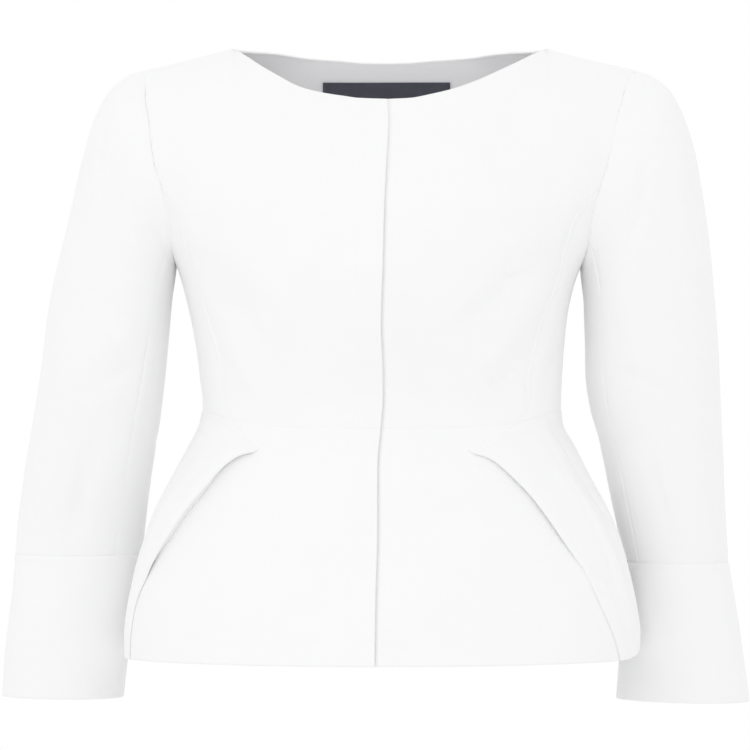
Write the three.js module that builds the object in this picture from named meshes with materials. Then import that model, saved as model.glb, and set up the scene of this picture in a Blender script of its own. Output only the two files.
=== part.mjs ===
// A fitted, collarless peplum jacket with set-in sleeves and deep cuffs, filled out as when it is worn.
// Millimetres, +Z up. The wearer faces -Y and the wearer's left is +X. The origin is midway between the two neck
// points, where the jacket hangs on the shoulders. Every piece is a thin wall of cloth, open at neck, hem and cuffs.
import * as THREE from 'three';

// Driving sizes
const WALL = 2; // cloth and facing together
const GAP = 0.3; // between two pieces at a seam
const SQUARE = 2.3; // squareness of the level sections, 2 is an ellipse
const SHOULDER_ROUND = 42; // drop over which the top of the shoulder rounds off
const NECK_HALF = { right: 137, left: 146 }; // centre line to neck point
const WAIST_FRONT = -340; // waist seam at the centre
const WAIST_RISE = 17; // how much higher the waist seam lies at the sides
const HEM = -544;
const UNDERLAP = 20; // how far the left front runs on under the right front
const UNDERLAP_DROP = 2.6; // how far the left front lies behind it
const UNDERLAP_SHARES = { held: 0.15, half: 0.225, level: 0.3 }; // of the left front's width, where it comes level
const UNDERLAP_RISE = { from: 2, to: 24 }; // the same on the peplum, past the edge of the right front
const LABEL = { left: 59.7, right: -56.6, top: -25, bottom: -53, thickness: 0.8 };
const SLEEVE_SEAMS = { front: 139.5, back: 250.2 }; // degrees round the armhole from the shoulder, front first
// Degrees that the front sleeve seam has turned at the cuff, how near the seam, and from where down the sleeve
const FRONT_SEAM_DRIFT = { right: -13.5, left: 0, reach: 80, start: 0.2 };
const ARMHOLE = { front: 60, back: 58, egg: 12, notch: 100.26 }; // half depths, fullness low down, panel seam place
const ARMHOLE_BLEND = 2.5; // sleeve rings over which the sleeve head leaves the armhole's own outline
const FLAP_RAISE = 3; // the side flap lies this far outside the front of the peplum
const PEPLUM_BACK_SEAM = 45; // degrees behind the side
const HEM_RISE = 0.5; // of the hem between the centre and the side
const HEM_CORNER = { right: 0, left: 7, reach: 14 }; // rise at the side, and the degrees that it reaches
const TOP_SEARCH = { low: -80, high: 10 }; // heights between which the upper edge of a panel lies
const HALVINGS = 60; // steps of the search for a place on a curve
const TOUCH = 0.01; // places this near each other count as one

// Steps of the walls
const STEPS = {
  neck: 7, shoulder: 5, princess: 10, armhole: 6, side: 12,
  peplumFront: 9, peplumSide: 14, peplumBack: 16, peplumDown: 9, cuffDown: 5, labelAcross: 8, labelDown: 2,
};
const SLEEVE_ROWS = [0, 1, 2, 3, 4, 5, 6, 7, 8, 8.5, 9, 9.5, 10, 10.5, 11, 11.5, 12, 13];

// Level sections of the bodice: half-widths to the wearer's right and left, depths in front and behind
const BODICE = [
  { z: 20, right: 240, left: 240, front: 36, back: 43 },
  { z: 0, right: 241, left: 242, front: 46, back: 50 },
  { z: -25, right: 242, left: 241, front: 58, back: 60 },
  { z: -50, right: 243, left: 239, front: 72, back: 69 },
  { z: -80, right: 242, left: 235, front: 91, back: 79 },
  { z: -110, right: 236, left: 226, front: 106, back: 87 },
  { z: -125, right: 225, left: 217, front: 111, back: 90 },
  { z: -150, right: 211, left: 202, front: 119, back: 94 },
  { z: -178, right: 197, left: 187, front: 124, back: 95.5 },
  { z: -197, right: 187, left: 175.8, front: 125.5, back: 95.5 },
  { z: -212, right: 182, left: 170, front: 124.5, back: 94.5 },
  { z: -240, right: 174.8, left: 164, front: 119.5, back: 91.5 },
  { z: -268, right: 169.6, left: 160.8, front: 112.5, back: 88 },
  { z: -295, right: 166.4, left: 158.6, front: 105.5, back: 85.5 },
  { z: -318, right: 163.8, left: 157.8, front: 101, back: 85 },
  { z: -345, right: 163.6, left: 157.6, front: 100, back: 85 },
];

// Top of the shoulder: drop below the neck point at a distance outwards from it
const SHOULDER = [
  { out: -146, z: 100 },
  { out: -60, z: 45 },
  { out: -25, z: 18 },
  { out: -8, z: 5 },
  { out: 0, z: 0 },
  { out: 8, z: -2 },
  { out: 27, z: -7.6 },
  { out: 50, z: -13 },
  { out: 73, z: -18.2 },
  { out: 89, z: -22.3 },
  { out: 110, z: -28 },
];

// Neck edge: height at a share of the way from the centre to the neck point
const NECK = [
  { share: 0, right: -50, left: -50, back: -8.4 },
  { share: 0.15, right: -49.4, left: -49, back: -8 },
  { share: 0.28, right: -47, left: -45.4, back: -6.4 },
  { share: 0.4, right: -44.2, left: -41, back: -5.4 },
  { share: 0.55, right: -38.4, left: -33, back: -3.6 },
  { share: 0.69, right: -28.2, left: -23.6, back: -1 },
  { share: 0.82, right: -17.4, left: -14.2, back: 0 },
  { share: 0.92, right: -7.6, left: -6, back: 0 },
  { share: 1, right: 0, left: 0, back: 0 },
];

// Edge of the right front, which lies over the left front
const FRONT_EDGE = [
  { z: -50, x: 1.6 },
  { z: -69, x: 2.4 },
  { z: -107, x: 0.6 },
  { z: -142, x: -1.2 },
  { z: -203, x: -2.9 },
  { z: -250, x: -4.3 },
  { z: -288, x: -2.9 },
  { z: -315, x: -2.6 },
  { z: -340, x: -4.6 },
  { z: -375, x: -7.3 },
  { z: -430, x: -7.4 },
  { z: -486, x: -9 },
  { z: -544, x: -9.9 },
];

// Seams between the front, side and back panels below the armhole: distance from the centre line
const PRINCESS = {
  front: [
    { z: -160, right: 180, left: 166.6 },
    { z: -183, right: 177, left: 159.5 },
    { z: -213, right: 167.5, left: 152 },
    { z: -243, right: 158, left: 139.5 },
    { z: -272, right: 149.5, left: 132 },
    { z: -299, right: 144.5, left: 127 },
    { z: -345, right: 142.5, left: 126.5 },
  ],
  back: [
    { z: -160, right: 164, left: 158 },
    { z: -210, right: 145, left: 139 },
    { z: -245, right: 131, left: 125 },
    { z: -275, right: 121, left: 115 },
    { z: -300, right: 115, left: 110 },
    { z: -345, right: 112, left: 107 },
  ],
};

// Sleeve rings from the armhole to the cuff seam: the outermost and innermost point of each, half its depth and the
// place of its middle behind the shoulder line
const SLEEVE = {
  right: [
    { ring: 0, outX: 221, outZ: -20.8, inX: 187.2, inZ: -194.5, depth: 60, middle: 0 },
    { ring: 1, outX: 232.5, outZ: -24, inX: 187.9, inZ: -197, depth: 64, middle: 0 },
    { ring: 2, outX: 243.9, outZ: -33.2, inX: 188.2, inZ: -200.5, depth: 64.5, middle: 1 },
    { ring: 3, outX: 254.5, outZ: -48.5, inX: 188.8, inZ: -206, depth: 64.5, middle: 2 },
    { ring: 4, outX: 263.5, outZ: -68, inX: 189.8, inZ: -213, depth: 63.5, middle: 3 },
    { ring: 5, outX: 273.8, outZ: -103, inX: 191.4, inZ: -223, depth: 62, middle: 4 },
    { ring: 6, outX: 282.2, outZ: -141.5, inX: 193, inZ: -238, depth: 60, middle: 6 },
    { ring: 7, outX: 293.2, outZ: -188, inX: 195, inZ: -260, depth: 57.5, middle: 9 },
    { ring: 8, outX: 303.6, outZ: -234, inX: 198, inZ: -288, depth: 54.5, middle: 14 },
    { ring: 9, outX: 311.5, outZ: -290, inX: 202.5, inZ: -320, depth: 50.5, middle: 20 },
    { ring: 10, outX: 319.4, outZ: -337, inX: 207, inZ: -352, depth: 46.5, middle: 28 },
    { ring: 11, outX: 328.5, outZ: -387, inX: 213, inZ: -391, depth: 42, middle: 37 },
    { ring: 12, outX: 334.5, outZ: -427, inX: 217.8, inZ: -428, depth: 38, middle: 45 },
    { ring: 13, outX: 337, outZ: -457, inX: 221, inZ: -456.5, depth: 36.5, middle: 50 },
  ],
  left: [
    { ring: 0, outX: 230, outZ: -20.8, inX: 176, inZ: -196.5, depth: 60, middle: 0 },
    { ring: 1, outX: 240.8, outZ: -23.6, inX: 176.3, inZ: -199.5, depth: 64, middle: 0 },
    { ring: 2, outX: 253, outZ: -32.3, inX: 176.4, inZ: -203.5, depth: 64.5, middle: 1 },
    { ring: 3, outX: 266.2, outZ: -54, inX: 176.8, inZ: -208.5, depth: 64.5, middle: 2 },
    { ring: 4, outX: 276.6, outZ: -84.5, inX: 177.6, inZ: -215, depth: 63.5, middle: 3 },
    { ring: 5, outX: 283.8, outZ: -121.5, inX: 179, inZ: -226, depth: 62, middle: 4 },
    { ring: 6, outX: 290.8, outZ: -160, inX: 179.6, inZ: -242, depth: 60, middle: 6 },
    { ring: 7, outX: 295.2, outZ: -199, inX: 180.6, inZ: -265, depth: 57.5, middle: 9 },
    { ring: 8, outX: 299, outZ: -245, inX: 181.6, inZ: -293, depth: 55, middle: 14 },
    { ring: 9, outX: 302.3, outZ: -293, inX: 185.2, inZ: -320, depth: 52.5, middle: 20 },
    { ring: 10, outX: 305.8, outZ: -347.5, inX: 193.4, inZ: -351, depth: 50, middle: 28 },
    { ring: 11, outX: 308.8, outZ: -401, inX: 204.7, inZ: -399, depth: 47.5, middle: 37 },
    { ring: 12, outX: 311.5, outZ: -442, inX: 214, inZ: -438, depth: 46, middle: 45 },
    { ring: 13, outX: 313, outZ: -464, inX: 219.2, inZ: -463, depth: 45.5, middle: 50 },
  ],
};

// Cuffs from the cuff seam to the open end, in the same terms
const CUFF = {
  right: [
    { ring: 0, outX: 337.8, outZ: -457.3, inX: 220.2, inZ: -456.8, depth: 37.3, middle: 50 },
    { ring: 0.2, outX: 338.9, outZ: -483.4, inX: 223.5, inZ: -482, depth: 37.5, middle: 50.5 },
    { ring: 0.5, outX: 342.9, outZ: -518.2, inX: 230, inZ: -518, depth: 38, middle: 51.5 },
    { ring: 0.72, outX: 347.2, outZ: -549.3, inX: 234.6, inZ: -549, depth: 39, middle: 53 },
    { ring: 1, outX: 350, outZ: -585.8, inX: 238.8, inZ: -587, depth: 40.5, middle: 55 },
  ],
  left: [
    { ring: 0, outX: 313.8, outZ: -464.3, inX: 218.4, inZ: -463.3, depth: 46.3, middle: 50 },
    { ring: 0.25, outX: 318.8, outZ: -495.5, inX: 217.2, inZ: -494, depth: 46.5, middle: 51 },
    { ring: 0.6, outX: 325.7, outZ: -540, inX: 214.7, inZ: -537, depth: 47, middle: 53 },
    { ring: 0.92, outX: 332, outZ: -579.5, inX: 212.8, inZ: -577, depth: 48, middle: 55 },
    { ring: 1, outX: 333.6, outZ: -590.5, inX: 212, inZ: -588.2, depth: 48.5, middle: 56 },
  ],
};

// Sections of the peplum at a share of the way from the waist seam to the hem: half-widths, depths in front and
// behind, and how far the widest line lies in front of the shoulders
const PEPLUM = [
  { share: 0, right: 163.6, left: 157.6, front: 100, back: 85, forward: 0 },
  { share: 0.068, right: 167.5, left: 159.8, front: 103, back: 87.5, forward: 2 },
  { share: 0.163, right: 177.8, left: 170.6, front: 108, back: 94, forward: 5 },
  { share: 0.28, right: 191.6, left: 183, front: 116, back: 102.5, forward: 9 },
  { share: 0.41, right: 206.3, left: 198, front: 124, back: 110.5, forward: 13 },
  { share: 0.52, right: 213.8, left: 208.5, front: 132, back: 118, forward: 18 },
  { share: 0.655, right: 222, left: 217, front: 140, back: 125, forward: 22 },
  { share: 0.81, right: 228.6, left: 224.5, front: 147.5, back: 132, forward: 26 },
  { share: 0.93, right: 231.6, left: 227.6, front: 152, back: 137, forward: 29 },
  { share: 1, right: 231.8, left: 226.8, front: 155, back: 140, forward: 30 },
];

// Free fold of the side flap: its place across, as a share of the half-width, at a share of the way down
const FLAP = {
  right: [
    { share: 0.107, across: 0.649 },
    { share: 0.13, across: 0.736 },
    { share: 0.21, across: 0.778 },
    { share: 0.281, across: 0.805 },
    { share: 0.366, across: 0.835 },
    { share: 0.485, across: 0.872 },
    { share: 0.574, across: 0.912 },
    { share: 0.64, across: 0.94 },
    { share: 0.73, across: 0.957 },
    { share: 0.835, across: 0.965 },
    { share: 1, across: 0.97 },
  ],
  left: [
    { share: 0.1, across: 0.447 },
    { share: 0.142, across: 0.553 },
    { share: 0.212, across: 0.619 },
    { share: 0.305, across: 0.681 },
    { share: 0.4, across: 0.717 },
    { share: 0.496, across: 0.75 },
    { share: 0.57, across: 0.783 },
    { share: 0.628, across: 0.809 },
    { share: 0.71, across: 0.826 },
    { share: 0.845, across: 0.862 },
    { share: 1, across: 0.905 },
  ],
};
// Where the upper edge of the flap leaves the waist seam, and how its free fold stands off
const FLAP_START = { right: 0.882, left: 0.816 };
const FLAP_CURVE = 1.6;
const FLAP_LIFT = { right: 9, left: 6.5 };
const FLAP_LIFT_REACH = 11; // degrees
// Outer edge of the peplum front, which ends under the flap: degrees in front of the side
const PEPLUM_FRONT_END = { right: { top: 26, hem: 9 }, left: { top: 36, hem: 21.5 } };
const FLAP_SETTLE = 14; // degrees over which the flap comes in to the plain section
const FLAP_BLEND = 0.6; // share of the piece over which its rows turn level
const FLAP_STAND_END = 0.85; // share of the way down at which the free fold lies flat again

// Largest folds, as ridges (height above 0) or troughs between two places on the cloth. Bodice: across and height.
const BODICE_FOLDS = {
  front: [
    { x0: -172, z0: -176, x1: -92, z1: -296, width: 13, height: -2.4 },
    { x0: -160, z0: -166, x1: -70, z1: -250, width: 16, height: 2.0 },
    { x0: -152, z0: -232, x1: -112, z1: -322, width: 11, height: 1.8 },
    { x0: 150, z0: -178, x1: 62, z1: -262, width: 14, height: -2.0 },
    { x0: 152, z0: -206, x1: 78, z1: -300, width: 13, height: 2.2 },
    { x0: 134, z0: -262, x1: 84, z1: -330, width: 11, height: -1.8 },
  ],
  back: [
    { x0: -150, z0: -150, x1: -40, z1: -286, width: 15, height: 2.2 },
    { x0: 146, z0: -158, x1: 36, z1: -296, width: 14, height: 2.2 },
    { x0: -104, z0: -306, x1: 92, z1: -300, width: 10, height: -1.8 },
  ],
};
// Sleeve folds: degrees round and height down the sleeve
const SLEEVE_FOLDS = {
  right: [
    { x0: 70, z0: -30, x1: 96, z1: -118, width: 9, height: -2.2 },
    { x0: 118, z0: -200, x1: 60, z1: -300, width: 13, height: 2.0 },
    { x0: 96, z0: -330, x1: 84, z1: -452, width: 11, height: -2.6 },
    { x0: 300, z0: -210, x1: 250, z1: -320, width: 15, height: 2.2 },
  ],
  left: [
    { x0: 74, z0: -36, x1: 104, z1: -112, width: 9, height: -1.8 },
    { x0: 44, z0: -60, x1: 40, z1: -250, width: 13, height: 2.0 },
    { x0: 92, z0: -300, x1: 70, z1: -430, width: 13, height: -1.8 },
    { x0: 292, z0: -220, x1: 250, z1: -330, width: 15, height: 2.2 },
  ],
};
// Peplum folds: degrees from the side, minus in front, and height down the peplum, with widths in millimetres
const PEPLUM_FOLDS = {
  right: [
    { x0: -30, z0: -20, x1: -4, z1: -204, width: 14, height: 2.4 },
    { x0: 16, z0: -30, x1: 26, z1: -204, width: 16, height: 2.8 },
    { x0: 62, z0: -40, x1: 66, z1: -204, width: 18, height: 2.6 },
  ],
  left: [
    { x0: -36, z0: -12, x1: -14, z1: -190, width: 12, height: 2.6 },
    { x0: 18, z0: -34, x1: 28, z1: -204, width: 16, height: 2.8 },
    { x0: 60, z0: -50, x1: 68, z1: -204, width: 18, height: 2.6 },
  ],
};
const PEPLUM_DEGREE = 3; // millimetres of cloth to a degree round the peplum
const FOLD_FADE = { from: -0.15, full: 0.3, still: 0.65, to: 1.15 }; // along the line of a fold
const FOLD_START = { side: 0.3, sleeve: 2, peplum: 0.3 }; // folds fade out at the side, the armhole and the waist

const CLOTH = { color: 0xf4f4f2, roughness: 0.85, metalness: 0 };
const LABEL_CLOTH = { color: 0x20242f, roughness: 0.7, metalness: 0 };

const SIGN = { right: -1, left: 1 };
const { clamp, degToRad, lerp, radToDeg, smoothstep } = THREE.MathUtils;

// Monotone cubic curve through one column of a table
function curve(table, key, column) {
  const rows = [...table].sort((one, other) => one[key] - other[key]);
  const at = rows.map((row) => row[key]);
  const value = rows.map((row) => row[column]);
  const rise = at.slice(1).map((next, i) => (value[i + 1] - value[i]) / (next - at[i]));
  const slope = at.map((_, i) => {
    const before = rise[Math.max(0, i - 1)];
    const after = rise[Math.min(rise.length - 1, i)];
    return before * after <= 0 ? 0 : (2 * before * after) / (before + after);
  });
  return (place) => {
    const inside = clamp(place, at[0], at[at.length - 1]);
    const i = Math.max(0, at.findIndex((edge) => edge >= inside) - 1);
    const length = at[i + 1] - at[i];
    const s = (inside - at[i]) / length;
    const rest = 1 - s;
    return value[i] * (1 + 2 * s) * rest ** 2 + value[i + 1] * (1 + 2 * rest) * s ** 2
      + length * s * rest * (slope[i] * rest - slope[i + 1] * s);
  };
}

const columns = (table, key, names) => Object.fromEntries(names.map((name) => [name, curve(table, key, name)]));
const bodice = columns(BODICE, 'z', ['right', 'left', 'front', 'back']);
const peplum = columns(PEPLUM, 'share', ['right', 'left', 'front', 'back', 'forward']);
const neckEdge = columns(NECK, 'share', ['right', 'left', 'back']);
const frontEdge = curve(FRONT_EDGE, 'z', 'x');
const shoulderTop = curve(SHOULDER, 'out', 'z');
const RING = ['outX', 'outZ', 'inX', 'inZ', 'depth', 'middle'];
const sleeveRing = { right: columns(SLEEVE.right, 'ring', RING), left: columns(SLEEVE.left, 'ring', RING) };
const cuffRing = { right: columns(CUFF.right, 'ring', RING), left: columns(CUFF.left, 'ring', RING) };
const flapFold = { right: curve(FLAP.right, 'share', 'across'), left: curve(FLAP.left, 'share', 'across') };

const sideOf = (x) => (x < 0 ? 'right' : 'left');
const rounded = (across) => (1 - Math.min(1, across) ** SQUARE) ** (1 / SQUARE);
const angleOf = (across) => Math.acos(Math.min(1, across) ** (SQUARE / 2));
const acrossAt = (angle) => Math.sign(Math.cos(angle)) * Math.abs(Math.cos(angle)) ** (2 / SQUARE);
const outwards = (angle) => Math.sin(Math.abs(angle)) ** (2 / SQUARE);

// Height of the folds at one place, in millimetres
function foldHeight(folds, x, z) {
  let height = 0;
  for (const fold of folds) {
    const dx = fold.x1 - fold.x0;
    const dz = fold.z1 - fold.z0;
    const along = ((x - fold.x0) * dx + (z - fold.z0) * dz) / (dx * dx + dz * dz);
    const off = Math.abs((x - fold.x0) * dz - (z - fold.z0) * dx) / Math.hypot(dx, dz);
    const rising = smoothstep(along, FOLD_FADE.from, FOLD_FADE.full);
    const falling = smoothstep(along, FOLD_FADE.still, FOLD_FADE.to);
    height += fold.height * rising * (1 - falling) * Math.exp(-((off / fold.width) ** 2));
  }
  return height;
}

// Bodice: depth of the cloth from the shoulder line at a place seen from the front or back
function shoulderHeight(x) {
  return shoulderTop(Math.abs(x) - NECK_HALF[sideOf(x)]);
}

function bodiceDepth(face, x, z) {
  const across = Math.abs(x) / bodice[sideOf(x)](z);
  const drop = clamp((shoulderHeight(x) - z) / SHOULDER_ROUND, 0, 1);
  return bodice[face](z) * rounded(across) * Math.sqrt(1 - (1 - drop) ** 2);
}

function bodicePoint(face, x, z, lift = 0) {
  const depth = bodiceDepth(face, x, z) + lift;
  return new THREE.Vector3(x, face === 'front' ? -depth : depth, z);
}

function waistSeam(across) {
  return WAIST_FRONT + WAIST_RISE * across ** 4;
}

// First place between two limits where a falling function reaches zero
function solve(low, high, falling) {
  for (let i = 0; i < HALVINGS; i++) {
    const middle = (low + high) / 2;
    if (falling(middle) > 0) low = middle;
    else high = middle;
  }
  return (low + high) / 2;
}

// Armhole: an egg round the arm, lying on the bodice. The angle runs from the shoulder to the front and under.
function armholeAt(side, angle) {
  const { outZ, inZ } = sleeveRing[side];
  const z = lerp(inZ(0), outZ(0), (1 + Math.cos(angle)) / 2);
  const face = Math.sin(angle) >= 0 ? 'front' : 'back';
  const depth = Math.abs(Math.sin(angle)) * (ARMHOLE[face] - ARMHOLE.egg * Math.cos(angle));
  const x = solve(0, bodice[side](z), (at) => bodiceDepth(face, at * SIGN[side], z) - depth) * SIGN[side];
  return new THREE.Vector3(x, face === 'front' ? -depth : depth, z);
}

// Across at which the armhole crosses a height, in front or behind
function armholeAcross(side, face, z) {
  const { outZ, inZ } = sleeveRing[side];
  const share = clamp((z - inZ(0)) / (outZ(0) - inZ(0)), 0, 1);
  const angle = Math.acos(2 * share - 1);
  return Math.abs(armholeAt(side, face === 'front' ? angle : -angle).x);
}

// Direction out of the armhole ring at a point on it, and the direction through the ring, from body to sleeve
function armholeFrame(side, angle) {
  const top = armholeAt(side, 0);
  const bottom = armholeAt(side, Math.PI);
  const line = top.clone().sub(bottom).normalize();
  const through = new THREE.Vector3(Math.abs(line.z) * SIGN[side], 0, -Math.abs(line.x));
  const out = armholeAt(side, angle).sub(top.add(bottom).multiplyScalar(0.5));
  out.addScaledVector(through, -out.dot(through)).normalize();
  return { out, through };
}

const NOTCH = degToRad(ARMHOLE.notch);

// The seams below the armhole start where the armhole has its notch
function princessTable(side, face) {
  const notch = armholeAt(side, face === 'front' ? NOTCH : -NOTCH);
  return curve([{ z: notch.z, [side]: Math.abs(notch.x) }, ...PRINCESS[face]], 'z', side);
}
const princess = {
  right: { front: princessTable('right', 'front'), back: princessTable('right', 'back') },
  left: { front: princessTable('left', 'front'), back: princessTable('left', 'back') },
};
const notchHeight = { right: armholeAt('right', NOTCH).z, left: armholeAt('left', NOTCH).z };

// Outer boundary of the front and back panels: the seam up to the notch, then the armhole
function panelEdge(side, face, z) {
  return z > notchHeight[side] ? armholeAcross(side, face, z) : princess[side][face](z);
}

// A wall of cloth from a grid of points and the outward direction at each, open or closed round its columns
function wall(columnCount, rowCount, at, { loop = false, thickness = WALL } = {}) {
  const grid = [];
  for (let i = 0; i <= columnCount; i++) {
    grid.push(Array.from({ length: rowCount + 1 }, (_, j) => at(i, j)));
  }
  const layer = (depth) => grid.map((line) => (
    line.map(({ point, out }) => point.clone().addScaledVector(out, -depth))));
  const layers = [inset(layer(0), loop), inset(layer(thickness), loop)];
  const across = loop ? columnCount : columnCount + 1;
  const index = (side, i, j) => (side * across + (i % across)) * (rowCount + 1) + j;
  const triangles = [];
  const quad = (a, b, c, d, swap) => triangles.push(...(swap ? [a, b, d, b, c, d] : [a, b, c, a, c, d]));
  for (let i = 0; i < columnCount; i++) {
    for (let j = 0; j < rowCount; j++) {
      const [a, b, c, d] = [layers[0][i][j], layers[0][i + 1][j], layers[0][i + 1][j + 1], layers[0][i][j + 1]];
      const swap = b.distanceTo(d) < a.distanceTo(c);
      quad(index(0, i, j), index(0, i + 1, j), index(0, i + 1, j + 1), index(0, i, j + 1), swap);
      quad(index(1, i, j + 1), index(1, i + 1, j + 1), index(1, i + 1, j), index(1, i, j), swap);
    }
  }
  const rim = (i0, j0, i1, j1) => {
    const [outer, inner] = layers;
    const swap = outer[i0][j0].distanceTo(inner[i1][j1]) < outer[i1][j1].distanceTo(inner[i0][j0]);
    quad(index(0, i1, j1), index(0, i0, j0), index(1, i0, j0), index(1, i1, j1), swap);
  };
  for (let i = 0; i < columnCount; i++) {
    rim(i, 0, i + 1, 0);
    rim(i + 1, rowCount, i, rowCount);
  }
  for (let j = 0; j < rowCount && !loop; j++) {
    rim(columnCount, j, columnCount, j + 1);
    rim(0, j + 1, 0, j);
  }
  const corner = layers[0][0][0];
  const facing = layers[0][1][0].clone().sub(corner).cross(layers[0][0][1].clone().sub(corner));
  if (facing.dot(grid[0][0].out) < 0) {
    for (let k = 0; k < triangles.length; k += 3) [triangles[k], triangles[k + 1]] = [triangles[k + 1], triangles[k]];
  }
  const points = layers.flatMap((side) => side.slice(0, across).flat());
  const geometry = new THREE.BufferGeometry();
  geometry.setAttribute('position', new THREE.Float32BufferAttribute(points.flatMap((p) => p.toArray()), 3));
  geometry.setIndex(triangles);
  geometry.computeVertexNormals();
  return geometry;
}

// Draws the border of a grid in by half a seam gap
function inset(layer, loop) {
  const last = layer.length - 1;
  const end = layer[0].length - 1;
  const towards = (point, next) => next.clone().sub(point).setLength(GAP / 2);
  return layer.map((line, i) => line.map((point, j) => {
    const moved = point.clone();
    if (!loop && i === 0) moved.add(towards(point, layer[1][j]));
    if (!loop && i === last) moved.add(towards(point, layer[last - 1][j]));
    if (j === 0) moved.add(towards(point, line[1]));
    if (j === end) moved.add(towards(point, line[end - 1]));
    return moved;
  }));
}

// Outward direction of a surface given by two parameters
function outward(surface, u, v, guide) {
  const step = 1e-3;
  const du = surface(u + step, v).sub(surface(u - step, v));
  const dv = surface(u, v + step).sub(surface(u, v - step));
  const out = du.cross(dv).normalize();
  return out.dot(guide) < 0 ? out.negate() : out;
}

const FACING = { front: new THREE.Vector3(0, -1, 0), back: new THREE.Vector3(0, 1, 0) };

// Front and back panels. Each column runs up from the waist seam to the neck edge or the shoulder seam.
function panelColumn(side, face, share, innerEdge) {
  const across = (z) => lerp(innerEdge(z), panelEdge(side, face, z) * SIGN[side], share);
  const bottomX = across(WAIST_FRONT);
  const bottom = waistSeam(Math.abs(bottomX) / bodice[side](WAIST_FRONT));
  const edge = face === 'front' ? side : 'back';
  const topOf = (x) => (Math.abs(x) < NECK_HALF[sideOf(x)]
    ? neckEdge[edge](Math.abs(x) / NECK_HALF[sideOf(x)])
    : shoulderHeight(x));
  const shoulder = sleeveRing[side].outZ(0);
  const top = share === 1 ? shoulder : solve(TOP_SEARCH.low, TOP_SEARCH.high, (z) => topOf(across(z)) - z);
  return { across, bottom, top, onShoulder: Math.abs(across(top)) >= NECK_HALF[side] - TOUCH };
}

// Shares of the height at which the rows of a panel lie, so that they meet the side panel and the sleeve
function panelRows(side, face) {
  const bottom = waistSeam(princess[side][face](WAIST_FRONT) / bodice[side](WAIST_FRONT));
  const top = sleeveRing[side].outZ(0);
  const rows = [];
  for (let j = 0; j <= STEPS.princess; j++) rows.push(lerp(bottom, notchHeight[side], j / STEPS.princess));
  for (let j = 1; j <= STEPS.armhole; j++) rows.push(armholeAt(side, NOTCH * (1 - j / STEPS.armhole)).z);
  return rows.map((z) => (z - bottom) / (top - bottom));
}

// Columns of a half panel, closer together towards the neck point, with one of them at it
function panelShares(side, face, innerEdge, first = [0]) {
  const edge = panelEdge(side, face, 0) * SIGN[side];
  const neck = (NECK_HALF[side] * SIGN[side] - innerEdge(0)) / (edge - innerEdge(0));
  const shares = first.slice(0, -1);
  const rest = STEPS.neck - shares.length;
  for (let i = 0; i < rest; i++) shares.push(lerp(first.at(-1), neck, Math.sin((Math.PI * i) / (2 * rest))));
  for (let i = 0; i <= STEPS.shoulder; i++) shares.push(lerp(neck, 1, i / STEPS.shoulder));
  return shares;
}

// One point of a half panel with its outward direction
function panelPoint(side, face, share, row, innerEdge, liftOf) {
  const shares = panelRows(side, face);
  const column = panelColumn(side, face, share, innerEdge);
  const z = lerp(column.bottom, column.top, shares[row]);
  const x = column.across(z);
  const point = bodicePoint(face, x, z, liftOf(x, z));
  const topRow = shares.length - 1;
  const turn = (face === 'front' ? 1 : -1) * NOTCH;
  if (share === 1 && row >= STEPS.princess) {
    const angle = turn * (1 - (row - STEPS.princess) / STEPS.armhole);
    const { out, through } = armholeFrame(side, angle);
    return { point: armholeAt(side, angle).addScaledVector(through, -GAP / 2), out };
  }
  if (row === topRow && column.onShoulder) {
    const slope = (shoulderHeight(x + SIGN[side]) - shoulderHeight(x)) * SIGN[side];
    return { point, out: new THREE.Vector3(-slope, 0, 1).normalize() };
  }
  return { point, out: outwardOnPanel(face, x, z, liftOf) };
}

// Outward direction straight from the depth of the cloth, which is the same on both sides of a seam
function outwardOnPanel(face, x, z, liftOf) {
  const step = 0.5;
  const deep = (dx, dz) => bodiceDepth(face, x + dx, z + dz) + liftOf(x + dx, z + dz);
  const acrossSlope = (deep(step, 0) - deep(-step, 0)) / (2 * step);
  const upSlope = (deep(0, step) - deep(0, -step)) / (2 * step);
  return new THREE.Vector3(-acrossSlope, FACING[face].y, -upSlope).normalize();
}

// Folds of the bodice, fading out at the side where front and back meet
const foldLift = (face) => (x, z) => (
  foldHeight(BODICE_FOLDS[face], x, z) * smoothstep(rounded(Math.abs(x) / bodice[sideOf(x)](z)), 0, FOLD_START.side));

// Lift of the left front, which passes under the right front at the centre
const underlapEdge = (z) => frontEdge(z) - UNDERLAP;
function underlapLift(x, z) {
  const share = (x - underlapEdge(z)) / (panelEdge('left', 'front', z) - underlapEdge(z));
  const level = smoothstep(share, UNDERLAP_SHARES.held, UNDERLAP_SHARES.level);
  return foldLift('front')(x, z) - UNDERLAP_DROP * (1 - level);
}

function frontPanel(side) {
  const innerEdge = side === 'right' ? frontEdge : underlapEdge;
  const first = side === 'right' ? [0] : [0, ...Object.values(UNDERLAP_SHARES)];
  const shares = panelShares(side, 'front', innerEdge, first);
  const lift = side === 'right' ? foldLift('front') : underlapLift;
  return wall(STEPS.neck + STEPS.shoulder, STEPS.princess + STEPS.armhole, (i, j) => (
    panelPoint(side, 'front', shares[i], j, innerEdge, lift)));
}

function backPanel() {
  const centre = () => 0;
  const right = panelShares('right', 'back', centre).reverse();
  const left = panelShares('left', 'back', centre).slice(1);
  const half = STEPS.neck + STEPS.shoulder;
  return wall(2 * half, STEPS.princess + STEPS.armhole, (i, j) => (i <= half
    ? panelPoint('right', 'back', right[i], j, centre, foldLift('back'))
    : panelPoint('left', 'back', left[i - half - 1], j, centre, foldLift('back'))));
}

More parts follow.
